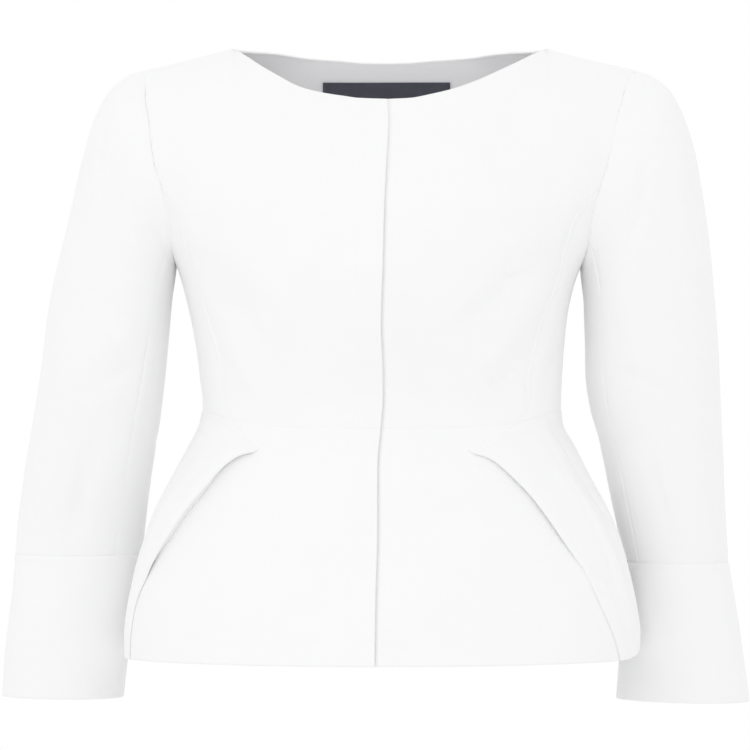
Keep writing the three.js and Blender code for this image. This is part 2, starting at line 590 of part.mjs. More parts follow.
// Side panel, round the side from the front seam to the back seam, under the armhole
function sideSurface(side, round, up) {
  const angleAt = (face, z) => angleOf(princess[side][face](z) / bodice[side](z));
  const turnTo = (share, z) => lerp(-angleAt('front', z), angleAt('back', z), share);
  const bottom = waistSeam(acrossAt(turnTo(round, WAIST_FRONT)));
  const top = armholeAt(side, lerp(NOTCH, 2 * Math.PI - NOTCH, round));
  const topTurn = Math.sign(top.y) * angleOf(Math.abs(top.x) / bodice[side](top.z));
  const span = angleAt('front', top.z) + angleAt('back', top.z);
  const topShare = (topTurn + angleAt('front', top.z)) / span;
  const z = lerp(bottom, top.z, up);
  const angle = turnTo(lerp(round, topShare, up * up), z);
  const face = angle < 0 ? 'front' : 'back';
  const x = bodice[side](z) * acrossAt(angle) * SIGN[side];
  const depth = bodice[face](z) * outwards(angle);
  return new THREE.Vector3(x, (depth + foldLift(face)(x, z)) * FACING[face].y, z);
}

function sidePanel(side) {
  return wall(STEPS.side, STEPS.princess, (i, j) => {
    const round = i / STEPS.side;
    const up = j / STEPS.princess;
    if (j === STEPS.princess) {
      const angle = lerp(NOTCH, 2 * Math.PI - NOTCH, round);
      const { out, through } = armholeFrame(side, angle);
      return { point: armholeAt(side, angle).addScaledVector(through, -GAP / 2), out };
    }
    const surface = (u, v) => sideSurface(side, u, v);
    const point = surface(round, up);
    const guide = new THREE.Vector3(point.x, point.y, 0);
    return { point, out: outward(surface, round, up, guide) };
  });
}

// Sleeves
const ROUND = [
  ...Array.from({ length: STEPS.armhole }, (_, i) => (NOTCH * i) / STEPS.armhole),
  ...Array.from({ length: STEPS.side }, (_, i) => lerp(NOTCH, 2 * Math.PI - NOTCH, i / STEPS.side)),
  ...Array.from({ length: STEPS.armhole + 1 }, (_, i) => lerp(2 * Math.PI - NOTCH, 2 * Math.PI, i / STEPS.armhole)),
];

function ringPoint(ring, side, at, angle) {
  const outer = new THREE.Vector3(ring.outX(at) * SIGN[side], 0, ring.outZ(at));
  const inner = new THREE.Vector3(ring.inX(at) * SIGN[side], 0, ring.inZ(at));
  const point = inner.lerp(outer, (1 + Math.cos(angle)) / 2);
  point.y = ring.middle(at) - ring.depth(at) * Math.sin(angle);
  return point;
}

function sleeveAngle(side, angle, at) {
  const last = SLEEVE[side].length - 1;
  const near = Math.max(0, 1 - Math.abs(radToDeg(angle) - SLEEVE_SEAMS.front) / FRONT_SEAM_DRIFT.reach);
  return angle + degToRad(FRONT_SEAM_DRIFT[side]) * near * smoothstep(at / last, FRONT_SEAM_DRIFT.start, 1);
}

function sleeveSurface(side, angle, at) {
  const turned = sleeveAngle(side, angle, at);
  const ring = sleeveRing[side];
  const point = armholeAt(side, turned).lerp(ringPoint(ring, side, at, turned), smoothstep(at, 0, ARMHOLE_BLEND));
  const outOfRing = ringPoint(ring, side, at, turned).sub(ringPoint(ring, side, at, turned + Math.PI)).normalize();
  const height = foldHeight(SLEEVE_FOLDS[side], radToDeg(turned), ring.outZ(at));
  return point.addScaledVector(outOfRing, height * smoothstep(at, 0, FOLD_START.sleeve));
}

// Part of a sleeve between two of the places round the armhole
function sleevePart(side, first, last) {
  const count = ROUND.length - 1;
  return wall(last - first, SLEEVE_ROWS.length - 1, (i, j) => {
    const angle = ROUND[(first + i) % count];
    const at = SLEEVE_ROWS[j];
    if (at === 0) {
      const { out, through } = armholeFrame(side, angle);
      return { point: armholeAt(side, angle).addScaledVector(through, GAP / 2), out };
    }
    const surface = (u, v) => sleeveSurface(side, u, v);
    const point = surface(angle, at);
    const guide = point.clone().sub(ringPoint(sleeveRing[side], side, at, angle + Math.PI));
    return { point, out: outward(surface, angle, at, guide) };
  });
}

const placeNear = (degrees) => ROUND.reduce((best, angle, i) => (
  Math.abs(radToDeg(angle) - degrees) < Math.abs(radToDeg(ROUND[best]) - degrees) ? i : best), 0);
const FRONT_SEAM = placeNear(SLEEVE_SEAMS.front);
const BACK_SEAM = placeNear(SLEEVE_SEAMS.back);

const upperSleeve = (side) => sleevePart(side, BACK_SEAM, FRONT_SEAM + ROUND.length - 1);
const underSleeve = (side) => sleevePart(side, FRONT_SEAM, BACK_SEAM);

function cuff(side) {
  const end = SLEEVE[side].length - 1;
  return wall(ROUND.length - 1, STEPS.cuffDown, (i, j) => {
    const at = j / STEPS.cuffDown;
    const angle = sleeveAngle(side, ROUND[i], end);
    const surface = (u, v) => ringPoint(cuffRing[side], side, v, u);
    const point = surface(angle, at);
    const guide = point.clone().sub(surface(angle + Math.PI, at));
    return { point, out: outward(surface, angle, at, guide) };
  }, { loop: true });
}

// Peplum: the angle is 0 at the side, minus in front and plus behind
function hemHeight(side, angle) {
  const corner = HEM_CORNER[side] * Math.exp(-((radToDeg(angle) / HEM_CORNER.reach) ** 2));
  return HEM + HEM_RISE * Math.sin(2 * angle) ** 2 + corner;
}

function peplumPoint(side, angle, down) {
  const across = acrossAt(angle);
  const face = angle < 0 ? 'front' : 'back';
  const forward = peplum.forward(down);
  const depth = peplum[face](down) + (face === 'front' ? -forward : forward);
  const y = -forward + depth * outwards(angle) * FACING[face].y;
  const z = lerp(waistSeam(across), hemHeight(side, angle), down);
  return new THREE.Vector3(peplum[side](down) * across * SIGN[side], y, z);
}

function peplumFold(side, angle, down) {
  const height = down * (HEM - WAIST_FRONT);
  const folds = PEPLUM_FOLDS[side].map((fold) => (
    { ...fold, x0: fold.x0 * PEPLUM_DEGREE, x1: fold.x1 * PEPLUM_DEGREE }));
  return foldHeight(folds, radToDeg(angle) * PEPLUM_DEGREE, height) * smoothstep(down, 0, FOLD_START.peplum);
}

// One point of the peplum, lifted off the plain section
function peplumPlace(side, angle, down, lift) {
  const surface = (u, v) => peplumPoint(side, u, v);
  const guide = new THREE.Vector3(Math.cos(angle) * SIGN[side], Math.sin(angle), 0);
  const out = outward(surface, angle, down, guide);
  return { point: surface(angle, down).addScaledVector(out, lift), out };
}

// Peplum front from the centre edge to its end under the flap
function frontEnd(side, down) {
  const { top, hem } = PEPLUM_FRONT_END[side];
  return -degToRad(lerp(top, hem, Math.sqrt(down)));
}

function peplumFront(side) {
  const under = side === 'left' ? UNDERLAP : 0;
  return wall(STEPS.peplumFront, STEPS.peplumDown, (i, j) => {
    const down = j / STEPS.peplumDown;
    const edgeX = frontEdge(lerp(WAIST_FRONT, HEM, down)) - under;
    const endX = acrossAt(frontEnd(side, down)) * peplum[side](down) * SIGN[side];
    const x = lerp(edgeX, endX, i / STEPS.peplumFront);
    const angle = -angleOf(Math.abs(x) / peplum[sideOf(x)](down));
    const past = x - edgeX - under;
    const level = smoothstep(past, UNDERLAP_RISE.from, UNDERLAP_RISE.to);
    const lift = side === 'left' ? -UNDERLAP_DROP * (1 - level) : 0;
    return peplumPlace(sideOf(x), angle, down, lift);
  });
}

// Share of the way down at which the flap's upper edge lies
function flapTop(side, across) {
  const { share, across: inner } = FLAP[side][0];
  const run = clamp((FLAP_START[side] - across) / (FLAP_START[side] - inner), 0, 1);
  return share * run ** FLAP_CURVE;
}

// Side of the peplum: its front edge is the free fold of the flap
function peplumSide(side) {
  const start = FLAP[side][0].share;
  return wall(STEPS.peplumSide, STEPS.peplumDown, (i, j) => {
    const row = j / STEPS.peplumDown;
    const column = i / STEPS.peplumSide;
    const foldDown = lerp(start, 1, row);
    const foldAngle = -angleOf(flapFold[side](foldDown));
    const angle = lerp(foldAngle, degToRad(PEPLUM_BACK_SEAM), column);
    const foldTop = flapTop(side, acrossAt(foldAngle));
    const top = angle < 0 ? flapTop(side, acrossAt(angle)) : 0;
    const foldRow = (foldDown - foldTop) / (1 - foldTop);
    const down = lerp(top, 1, lerp(foldRow, row, smoothstep(column, 0, FLAP_BLEND)));
    const raise = FLAP_RAISE * (1 - smoothstep(radToDeg(angle - frontEnd(side, down)), 0, FLAP_SETTLE));
    const away = radToDeg(angle - foldAngle) / FLAP_LIFT_REACH;
    const stand = FLAP_LIFT[side] * Math.sin(Math.PI * Math.min(1, row / FLAP_STAND_END)) * Math.exp(-away * away);
    return peplumPlace(side, angle, down, raise + stand + peplumFold(side, angle, down));
  });
}

function peplumBack() {
  return wall(STEPS.peplumBack, STEPS.peplumDown, (i, j) => {
    const share = (2 * i) / STEPS.peplumBack - 1;
    const side = share < 0 ? 'right' : 'left';
    const angle = lerp(Math.PI / 2, degToRad(PEPLUM_BACK_SEAM), Math.abs(share));
    const down = j / STEPS.peplumDown;
    return peplumPlace(side, angle, down, peplumFold(side, angle, down));
  });
}

// Woven label inside the back neck
function neckLabel() {
  return wall(STEPS.labelAcross, STEPS.labelDown, (i, j) => {
    const x = lerp(LABEL.right, LABEL.left, i / STEPS.labelAcross);
    const z = lerp(LABEL.top, LABEL.bottom, j / STEPS.labelDown);
    const out = outwardOnPanel('back', x, z, foldLift('back'));
    return { point: bodicePoint('back', x, z).addScaledVector(out, -(WALL + GAP)), out };
  }, { thickness: LABEL.thickness });
}

const jacket = new THREE.Group();
function piece(name, geometry, finish = CLOTH) {
  const mesh = new THREE.Mesh(geometry, new THREE.MeshStandardMaterial(finish));
  mesh.name = name;
  jacket.add(mesh);
}

piece('back', backPanel());
piece('peplum_back', peplumBack());
piece('neck_label', neckLabel(), LABEL_CLOTH);
for (const side of ['right', 'left']) {
  piece(`front_${side}`, frontPanel(side));
  piece(`side_${side}`, sidePanel(side));
  piece(`peplum_front_${side}`, peplumFront(side));
  piece(`peplum_side_${side}`, peplumSide(side));
  piece(`sleeve_upper_${side}`, upperSleeve(side));
  piece(`sleeve_under_${side}`, underSleeve(side));
  piece(`cuff_${side}`, cuff(side));
}

export default jacket;
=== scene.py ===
"""A white peplum jacket in its worn form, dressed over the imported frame.

Sizes are millimetres until a mesh is made. +X is the wearer's left, -Y the front, +Z up, and the origin is
midway between the two neck points. Right and left are the wearer's.
"""
import math
from collections import namedtuple

import bmesh
import bpy
import numpy as np
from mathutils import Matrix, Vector


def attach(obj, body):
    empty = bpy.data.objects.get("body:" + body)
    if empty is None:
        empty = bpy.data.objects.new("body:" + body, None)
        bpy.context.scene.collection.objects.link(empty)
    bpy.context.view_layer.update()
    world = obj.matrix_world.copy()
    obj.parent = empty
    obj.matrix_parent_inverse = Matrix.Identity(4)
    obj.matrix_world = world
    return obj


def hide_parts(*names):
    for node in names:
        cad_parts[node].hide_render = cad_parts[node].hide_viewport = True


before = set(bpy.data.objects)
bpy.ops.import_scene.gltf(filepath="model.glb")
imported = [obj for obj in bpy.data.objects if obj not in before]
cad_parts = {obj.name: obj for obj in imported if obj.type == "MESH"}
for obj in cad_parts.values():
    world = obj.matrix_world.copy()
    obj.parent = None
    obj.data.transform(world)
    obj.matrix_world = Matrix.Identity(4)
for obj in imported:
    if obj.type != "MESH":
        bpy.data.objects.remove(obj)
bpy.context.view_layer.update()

MM = 0.001
RIGHT, LEFT = "right", "left"
SIGN = {RIGHT: -1, LEFT: 1}
TOWARDS = {"front": -1, "back": 1}

# Camera: straight from the front, 0.9 mm to a pixel at the shoulder line
CAMERA_DISTANCE = 3500
PICTURE_WIDTH = 675
PICTURE_CENTRE = {"x": -9, "z": -293.4}
SENSOR = 36
# Light: a white room, and large soft lamps (place in metres, width, watts)
WORLD = 1.0
LIGHT_AIM = (0, 0, -0.3)
LIGHTS = {
    "front": ((-0.2, -3.6, 0.1), 1.6, 6.5),
    "front left": ((-2.0, -2.9, 0.5), 1.4, 3.5),
}

# Driving sizes. Most are the part's own, and the underlap's step and the flaps' stand are finer here.
PLY = 2.0  # a panel with its facing
SQUARE = 2.3  # power of the sections, where 2 would be an ellipse
SHOULDER_ROUND = 42
NECK_HALF = {RIGHT: 137, LEFT: 146}
WAIST_FRONT = -340
WAIST_RISE = 17
HEM = -544
HEM_RISE = 0.5
HEM_CORNER = {"height": 7, "reach": 14}
UNDERLAP = 20
UNDERLAP_DROP = 2.7
UNDERLAP_RISE = {"from": 0.6, "to": 4.8}
FRONT_SEAM_DRIFT = {RIGHT: -13.5, LEFT: 0, "middle": 139.5, "reach": 80, "start": 0.2}
ARMHOLE = {"front": 60, "back": 58, "egg": 12, "notch": math.radians(100.26), "points": 500, "crowding": 0.7}
ARMHOLE_BLEND = 2.5
SLEEVE_SEAM = {"front": math.radians(140.13), "back": math.radians(246.45)}
FLAP_RAISE = 3
SEAM_EASE = 0.04
FLAP_START = {RIGHT: 0.882, LEFT: 0.816}
FLAP_CURVE = 1.6
FLAP_LIFT = {RIGHT: 6.5, LEFT: 1.8}
FLAP_LIFT_REACH = 11
FLAP_SETTLE = 14
FLAP_BLEND = 0.6
FLAP_STAND_END = 0.7
FLAP_STAND_POWER = 0.75  # below 1, so that the flap stands off furthest above its middle
PEPLUM_FRONT_END = {RIGHT: (26, 9), LEFT: (36, 21.5)}
PEPLUM_BACK_SEAM = math.radians(45)
PEPLUM_DEGREE = 3
FOLD_START = {"side": 0.3, "sleeve": 2, "peplum": 0.3}
FOLD_ENDS = {"start": (-0.15, 0.3), "end": (0.65, 1.15)}  # as shares of a fold's length
CREASE_START = {"sleeve": (0.3, 1.4), "peplum": (0, 0.06), "peplum_front": (0, 0.05)}
LABEL = {"left": 59.7, "right": -56.6, "top": -25, "bottom": -53, "thickness": 0.8, "clear": 0.5}
LABEL_GRID = (60, 16)
HALVINGS = 44

# Sewing
STEP = 2.7  # between two points of the cloth, away from its edges
EDGE_STEPS = (0, 0.8, 1.8, 3.1, 4.7, 6.6, 8.8)
SEAM_ROLL = {"depth": 0.2, "reach": 1.05}
WAIST_ROLL = 7  # reach of the roll at the waist seam of the fronts
FREE_ROLL = {"depth": 0.2, "reach": 1.3}
BUTT = 0.01  # between two pieces that are sewn edge to edge
EDGE_BULGE = 0.6  # of half the ply
NECK_TURN = (0.3, 1.2, 2.75, 5)  # columns inside the neck point
NECK_CLEAR = 1.2
TOP_LIMITS = (-80, 10)  # heights between which a panel ends at the neck or the shoulder
COLUMN_POINTS = 400
UPRIGHT = {"above": -48, "share": 0.7}
ROW_SMOOTHING = 25
ROW_POWER = 7
ARMHOLE_EASE = {"height": 3.2, "reach": 9, "rise": (5, 40), "fall": (95, 135), "step": 2.5}
HOLLOW = {RIGHT: 0.7, LEFT: 1.2, "reach": 4.5, "from": -338, "full": -290, "still": -180, "to": -140}
PUCKER = {"height": 0.05, "reach": 5}
PUCKER_RUN = {"direction": (0.83, 0.71, 1.07), "length": 13, "drift": 17, "long": 27}
ALLOWANCE = {"width": 11, "height": 0.16, "step": 1.3}
PLACKET = {"width": 25, "height": 0.3, "step": 1.6}
FACING_STEP = 0.6
FACING_BLEND = 0.8
FACING = {"front edge": 62, "neck": 46, "back neck": 52, "hem": 36, "cuff": 60}
CUFF_COLUMNS = 120
CUFF_ROLL = {"height": 0.5, "below": 3.2, "reach": 2.2}
INNER_ROUNDS = 8
SHARP = math.radians(50)
FLAP_PLY = 1.15
FLAP_RETURN = 24
FLAP_BEND = {"least": 0.3, "most": 1.3}
FLAP_CLOSE = 3.2
FLAP_SEAM_RISE = 7
FLAP_SINK = {RIGHT: (0.5, 0.8), LEFT: (0.42, 0.75), "share": 0.9}
BEND_STEPS = 8
# Columns of the fronts, at set distances from the edge. On the left they are closer together where the
# underlap comes level.
FRONT_COLUMNS = {
    RIGHT: (*EDGE_STEPS, 11, 13.8, 16.6, 19.4, 21.6, 23.4, 24.6, 25.8, 27.4, 30),
    LEFT: (
        *EDGE_STEPS, 11, 13.8, 16.6, 18.6, 19.8, 20.6, 21.3, 22, 22.7, 23.4, 24.1, 24.8, 25.8, 27.4, 30, 32.8,
    ),
}
# About the width and length of each piece, which set how many columns and rows it has
SPAN = {
    "front": (165, 315), "back": (215, 330), "side": (112, 205), "peplum_front": (190, 205),
    "peplum_side": (210, 205), "peplum_back": (340, 208),
}
SLEEVE_SPAN = {"upper": 325, "under": 150, "length": 370}
SLEEVE_LINES = {"points": 240, "angles": (0.3, 1.6, 3.1, 4.7)}
CUFF_LENGTH = 128
FLOOR = {"reach": 4.0, "level": -1.42}


def table(columns, *rows):
    return dict(zip(columns.split(), np.array(rows, float).T))


# Level sections of the bodice: half-widths, and depths in front and behind
BODICE = table(
    "z right left front back",
    (20, 240, 240, 36, 43), (0, 241, 242, 46, 50), (-25, 242, 241, 58, 60), (-50, 243, 239, 72, 69),
    (-80, 241.5, 235, 91, 79), (-95, 239, 230.5, 99, 83.5), (-110, 233.5, 224.3, 106, 87),
    (-125, 225.2, 216.8, 111, 90), (-150, 211, 202, 119, 94),
    (-178, 197, 187, 124, 95.5), (-197, 187, 175.8, 125.5, 95.5), (-212, 182, 170, 124.5, 94.5),
    (-240, 174.8, 164, 119.5, 91.5), (-268, 169.6, 160.8, 112.5, 88), (-295, 166.4, 158.6, 105.5, 85.5),
    (-318, 163.8, 157.8, 101, 85), (-345, 163.6, 157.6, 100, 85),
)
# Top of the shoulder at a distance outwards from the neck point
SHOULDER = table(
    "out z",
    (-146, 66), (-60, 27), (-25, 10.4), (-8, 2.9), (0, 0), (8, -2.3), (27, -7.6), (50, -13), (73, -18.2),
    (89, -22.3), (110, -28),
)
# Neck edge at a share of the way from the centre to the neck point
NECK = table(
    "share right left back",
    (0, -50, -50, -8.4), (0.15, -49.4, -49, -8), (0.28, -47, -45.4, -6.4), (0.4, -44.2, -41, -5.4),
    (0.55, -38.4, -33, -3.6), (0.69, -28.2, -23.6, -1), (0.82, -17.4, -14.2, 0), (0.92, -7.6, -6, 0),
    (1, 0, 0, 0),
)
# Edge of the right front, which lies over the left front
FRONT_EDGE = table(
    "z x",
    (-50, 1.6), (-69, 2.4), (-107, 0.6), (-142, -1.2), (-203, -2.9), (-250, -4.3), (-288, -2.9), (-315, -2.6),
    (-340, -4.6), (-375, -7.3), (-430, -7.4), (-486, -9), (-544, -9.9),
)
# Panel seams below the armhole: distance from the centre line
PRINCESS = {
    "front": table(
        "z right left",
        (-160, 180, 166.6), (-183, 177, 159.5), (-213, 167.5, 152), (-243, 158, 139.5), (-272, 149.5, 132),
        (-299, 144.5, 127), (-345, 142.5, 126.5),
    ),
    "back": table(
        "z right left",
        (-160, 164, 158), (-210, 145, 139), (-245, 131, 125), (-275, 121, 115), (-300, 115, 110),
        (-345, 112, 107),
    ),
}
# Sleeve rings: outermost and innermost point, half the depth, and the middle's place behind the shoulder line
SLEEVE = {
    RIGHT: table(
        "ring outX outZ inX inZ depth middle",
        (0, 221, -20.8, 187.2, -194.5, 60, 0), (1, 232.5, -24, 187.9, -197, 64, 0),
        (2, 243.9, -33.2, 188.2, -200.5, 64.5, 1), (3, 254.5, -48.5, 188.8, -206, 64.5, 2),
        (4, 263.5, -68, 189.8, -213, 63.5, 3), (5, 273.8, -103, 191.4, -223, 62, 4),
        (6, 282.2, -141.5, 193, -238, 60, 6), (7, 293.2, -188, 195, -260, 57.5, 9),
        (8, 303.6, -234, 198, -288, 54.5, 14), (9, 311.5, -290, 202.5, -320, 50.5, 20),
        (10, 319.4, -337, 207, -352, 46.5, 28), (11, 328.5, -387, 213, -391, 42, 37),
        (12, 334.5, -427, 217.8, -428, 38, 45), (13, 337, -457, 221, -456.5, 36.5, 50),
    ),
    LEFT: table(
        "ring outX outZ inX inZ depth middle",
        (0, 230, -20.8, 176, -196.5, 60, 0), (1, 240.8, -23.6, 176.3, -199.5, 64, 0),
        (2, 253, -32.3, 176.4, -203.5, 64.5, 1), (3, 266.2, -54, 176.8, -208.5, 64.5, 2),
        (4, 276.6, -84.5, 177.6, -215, 63.5, 3), (5, 283.8, -121.5, 179, -226, 62, 4),
        (6, 290.8, -160, 179.6, -242, 60, 6), (7, 295.2, -199, 180.6, -265, 57.5, 9),
        (8, 299, -245, 181.6, -293, 55, 14), (9, 302.3, -293, 185.2, -320, 52.5, 20),
        (10, 305.8, -347.5, 193.4, -351, 50, 28), (11, 308.8, -401, 204.7, -399, 47.5, 37),
        (12, 311.5, -442, 214, -438, 46, 45), (13, 313, -464, 219.2, -463, 45.5, 50),
    ),
}
CUFF = {
    RIGHT: table(
        "ring outX outZ inX inZ depth middle",
        (0, 337.2, -457, 220.8, -456.5, 36.7, 50), (0.2, 338.9, -483.4, 223.5, -482, 37.5, 50.5),
        (0.5, 342.9, -518.2, 230, -518, 38, 51.5), (0.72, 347.2, -549.3, 234.6, -549, 39, 53),
        (1, 350, -585.8, 238.8, -587, 40.5, 55),
    ),
    LEFT: table(
        "ring outX outZ inX inZ depth middle",
        (0, 313.2, -464, 219, -463, 45.7, 50), (0.25, 318.8, -495.5, 217.2, -494, 46.5, 51),
        (0.6, 325.7, -540, 214.7, -537, 47, 53), (0.92, 332, -579.5, 212.8, -577, 48, 55),
        (1, 333.6, -590.5, 212, -588.2, 48.5, 56),
    ),
}
# Sections of the peplum at a share of the way down
PEPLUM = table(
    "share right left front back forward",
    (0, 163.6, 157.6, 100, 85, 0), (0.068, 167.5, 159.8, 103, 87.5, 2), (0.163, 177.8, 170.6, 108, 94, 5),
    (0.28, 191.6, 183, 116, 102.5, 9), (0.41, 206.3, 198, 124, 110.5, 13), (0.52, 213.8, 208.5, 132, 118, 18),
    (0.655, 222, 217, 140, 125, 22), (0.81, 228.6, 224.5, 147.5, 132, 26), (0.93, 231.6, 227.6, 152, 137, 29),
    (1, 231.8, 226.8, 155, 140, 30),
)
# Free fold of the side flap: its place across at a share of the way down
FLAP = {
    RIGHT: table(
        "share across",
        (0.107, 0.649), (0.151, 0.736), (0.21, 0.776), (0.281, 0.8), (0.366, 0.83), (0.485, 0.875),
        (0.574, 0.91), (0.64, 0.932), (0.73, 0.954), (0.835, 0.965), (1, 0.97),
    ),
    LEFT: table(
        "share across",
        (0.1, 0.447), (0.142, 0.553), (0.212, 0.619), (0.305, 0.681), (0.4, 0.717), (0.496, 0.75),
        (0.57, 0.783), (0.628, 0.809), (0.71, 0.826), (0.845, 0.862), (1, 0.905),
    ),
}

# Folds run between two places on the cloth, as ridges (above 0) or troughs. The large ones are the part's
# own, and CREASES holds the smaller ones that only show close by.
FOLD = "x0 z0 x1 z1 width height"
BODICE_FOLDS = {
    "front": table(
        FOLD,
        (-172, -176, -92, -296, 13, -2.4), (-160, -166, -70, -250, 16, 2.0),
        (-152, -232, -112, -322, 11, 1.8),
        (150, -178, 62, -262, 14, -2.0), (152, -206, 78, -300, 13, 2.2), (134, -262, 84, -330, 11, -1.8),
    ),
    "back": table(
        FOLD,
        (-150, -150, -40, -286, 15, 2.2), (146, -158, 36, -296, 14, 2.2), (-104, -306, 92, -300, 10, -1.8),
    ),
}
SLEEVE_FOLDS = {
    RIGHT: table(
        FOLD,
        (70, -30, 96, -118, 9, -2.2), (118, -200, 60, -300, 13, 2.0), (96, -330, 84, -452, 11, -2.6),
        (300, -210, 250, -320, 15, 2.2),
    ),
    LEFT: table(
        FOLD,
        (74, -36, 104, -112, 9, -1.8), (44, -60, 40, -250, 13, 2.0), (92, -300, 70, -430, 13, -1.8),
        (292, -220, 250, -330, 15, 2.2),
    ),
}
PEPLUM_FOLDS = {
    RIGHT: table(
        FOLD,
        (-90, -20, -12, -204, 14, 2.4), (48, -30, 78, -204, 16, 2.8), (186, -40, 198, -204, 18, 2.6),
    ),
    LEFT: table(
        FOLD,
        (-108, -12, -42, -190, 12, 2.6), (54, -34, 84, -204, 16, 2.8), (180, -50, 204, -204, 18, 2.6),
    ),
}
CREASES = {
    "front": table(
        FOLD,
        (114, -183, 106, -201, 4.2, -1.3), (99, -212, 130, -202, 4.4, -0.9), (121, -206, 50, -264, 9, -1.3),
        (84, -309, 112, -291, 4.6, -1.1), (72, -296, 104, -268, 7, 0.7), (-135, -208, -90, -302, 8, -1.2),
        (-150, -262, -122, -318, 5, -0.9), (-118, -186, -64, -268, 10, 0.8),
        (-190, -140, -176, -196, 5, -1.1),
        (172, -146, 160, -190, 5, -1.2), (158, -262, 140, -304, 4.6, -1.3), (-60, -318, -20, -330, 5, -0.5),
        (28, -322, 66, -333, 5, -0.5), (-120, -70, -150, -128, 9, -0.7), (122, -66, 158, -126, 9, -0.8),
    ),
    "back": table(
        FOLD,
        (-126, -296, -58, -316, 5, -1.0), (52, -314, 118, -288, 5, -1.1), (-60, -284, 48, -279, 7, -1.1),
        (-130, -110, -158, -166, 8, -1.0), (128, -108, 156, -160, 8, -1.1), (-96, -62, 92, -66, 14, -0.9),
        (-34, -320, 40, -324, 5, -0.8), (-118, -216, -52, -262, 9, 0.8), (60, -252, 112, -200, 9, 0.7),
    ),
    "sleeve_right": table(
        FOLD,
        (74, -322, 103, -420, 7, -1.2), (128, -250, 92, -292, 6, -1.1), (60, -120, 66, -240, 9, 0.8),
        (40, -52, 58, -96, 5, -0.9), (330, -48, 306, -110, 7, -0.9), (256, -262, 300, -296, 6, -1.2),
        (286, -330, 262, -420, 8, -1.0), (20, -250, 24, -400, 10, 0.8), (176, -330, 210, -356, 7, -0.9),
    ),
    "sleeve_left": table(
        FOLD,
        (58, -70, 54, -236, 8, 1.1), (88, -106, 84, -206, 9, -1.0), (126, -252, 84, -300, 6, -1.0),
        (110, -340, 96, -440, 7, -0.9), (332, -50, 308, -116, 7, -1.0), (258, -270, 296, -312, 6, -1.1),
        (288, -350, 262, -430, 8, -1.0), (16, -270, 22, -410, 10, 0.8), (180, -344, 214, -362, 7, -0.8),
    ),
    "peplum_right": table(
        FOLD,
        (-70, -40, -30, -150, 7, -0.9), (18, -26, 30, -150, 7, -1.0), (112, -24, 128, -160, 9, -1.1),
        (230, -30, 236, -170, 9, -1.0),
    ),
    "peplum_left": table(
        FOLD,
        (-103, -6, -68, -175, 5, -1.3), (-70, -14, -42, -100, 4.6, -1.1), (20, -24, 30, -150, 7, -1.0),
        (118, -26, 132, -160, 9, -1.1), (226, -36, 240, -170, 9, -1.0),
    ),
    "peplum_front_right": table(
        FOLD,
        (-60, -30, -48, -170, 12, -0.6), (-120, -60, -126, -190, 10, -0.6), (-90, -14, -30, -22, 5, -0.35),
    ),
    "peplum_front_left": table(
        FOLD,
        (64, -34, 70, -180, 12, -0.6), (120, -90, 132, -196, 10, -0.6), (30, -14, 78, -20, 5, -0.35),
    ),
    "cuff_right": table(
        FOLD,
        (60, -500, 76, -560, 12, -0.6), (120, -480, 96, -540, 9, -0.6), (250, -490, 236, -570, 12, -0.7),
    ),
    "cuff_left": table(
        FOLD,
        (70, -520, 80, -575, 12, -0.6), (126, -490, 100, -550, 9, -0.5), (250, -500, 232, -580, 12, -0.7),
    ),
}
# Slow waves that no cloth is free of, all over the jacket
WAVES = table(
    "x y z length phase height",
    (0.9, 0.2, 0.4, 83, 0.4, 0.13), (0.3, 0.5, 0.8, 61, 1.9, 0.10), (-0.7, 0.4, 0.6, 117, 3.3, 0.20),
    (0.5, -0.8, 0.3, 49, 5.1, 0.06), (0.1, 0.9, -0.5, 97, 2.2, 0.14), (-0.4, -0.3, 0.9, 139, 4.4, 0.22),
)


def curve(sizes, key, column):
    """Monotone cubic curve through one column of a table."""
    order = np.argsort(sizes[key])
    at, value = sizes[key][order], sizes[column][order]
    rise = np.diff(value) / np.diff(at)
    before, after = np.r_[rise[0], rise], np.r_[rise, rise[-1]]
    same = before * after > 0
    slope = np.where(same, 2 * before * after / np.where(same, before + after, 1), 0)

    def read(place):
        inside = np.clip(place, at[0], at[-1])
        i = np.clip(np.searchsorted(at, inside) - 1, 0, len(at) - 2)
        length = at[i + 1] - at[i]
        s = (inside - at[i]) / length
        rest = 1 - s
        return (value[i] * (1 + 2 * s) * rest**2 + value[i + 1] * (1 + 2 * rest) * s**2
                + length * s * rest * (slope[i] * rest - slope[i + 1] * s))

    return read


def curves(sizes, key):
    return {column: curve(sizes, key, column) for column in sizes if column != key}


bodice = curves(BODICE, "z")
peplum = curves(PEPLUM, "share")
neck_edge = curves(NECK, "share")
front_edge = curve(FRONT_EDGE, "z", "x")
shoulder_top = curve(SHOULDER, "out", "z")
sleeve_ring = {side: curves(SLEEVE[side], "ring") for side in SIGN}
cuff_ring = {side: curves(CUFF[side], "ring") for side in SIGN}
flap_fold = {side: curve(FLAP[side], "share", "across") for side in SIGN}


def lerp(one, other, share):
    return one + (other - one) * share


def smooth(place, low, high):
    t = np.clip((place - low) / (high - low), 0, 1)
    return t * t * (3 - 2 * t)


def rounded(across):
    return (1 - np.minimum(1, across) ** SQUARE) ** (1 / SQUARE)


def angle_of(across):
    return np.arccos(np.minimum(1, across) ** (SQUARE / 2))


def across_at(angle):
    return np.sign(np.cos(angle)) * np.abs(np.cos(angle)) ** (2 / SQUARE)


def outwards(angle):
    return np.sin(np.abs(angle)) ** (2 / SQUARE)


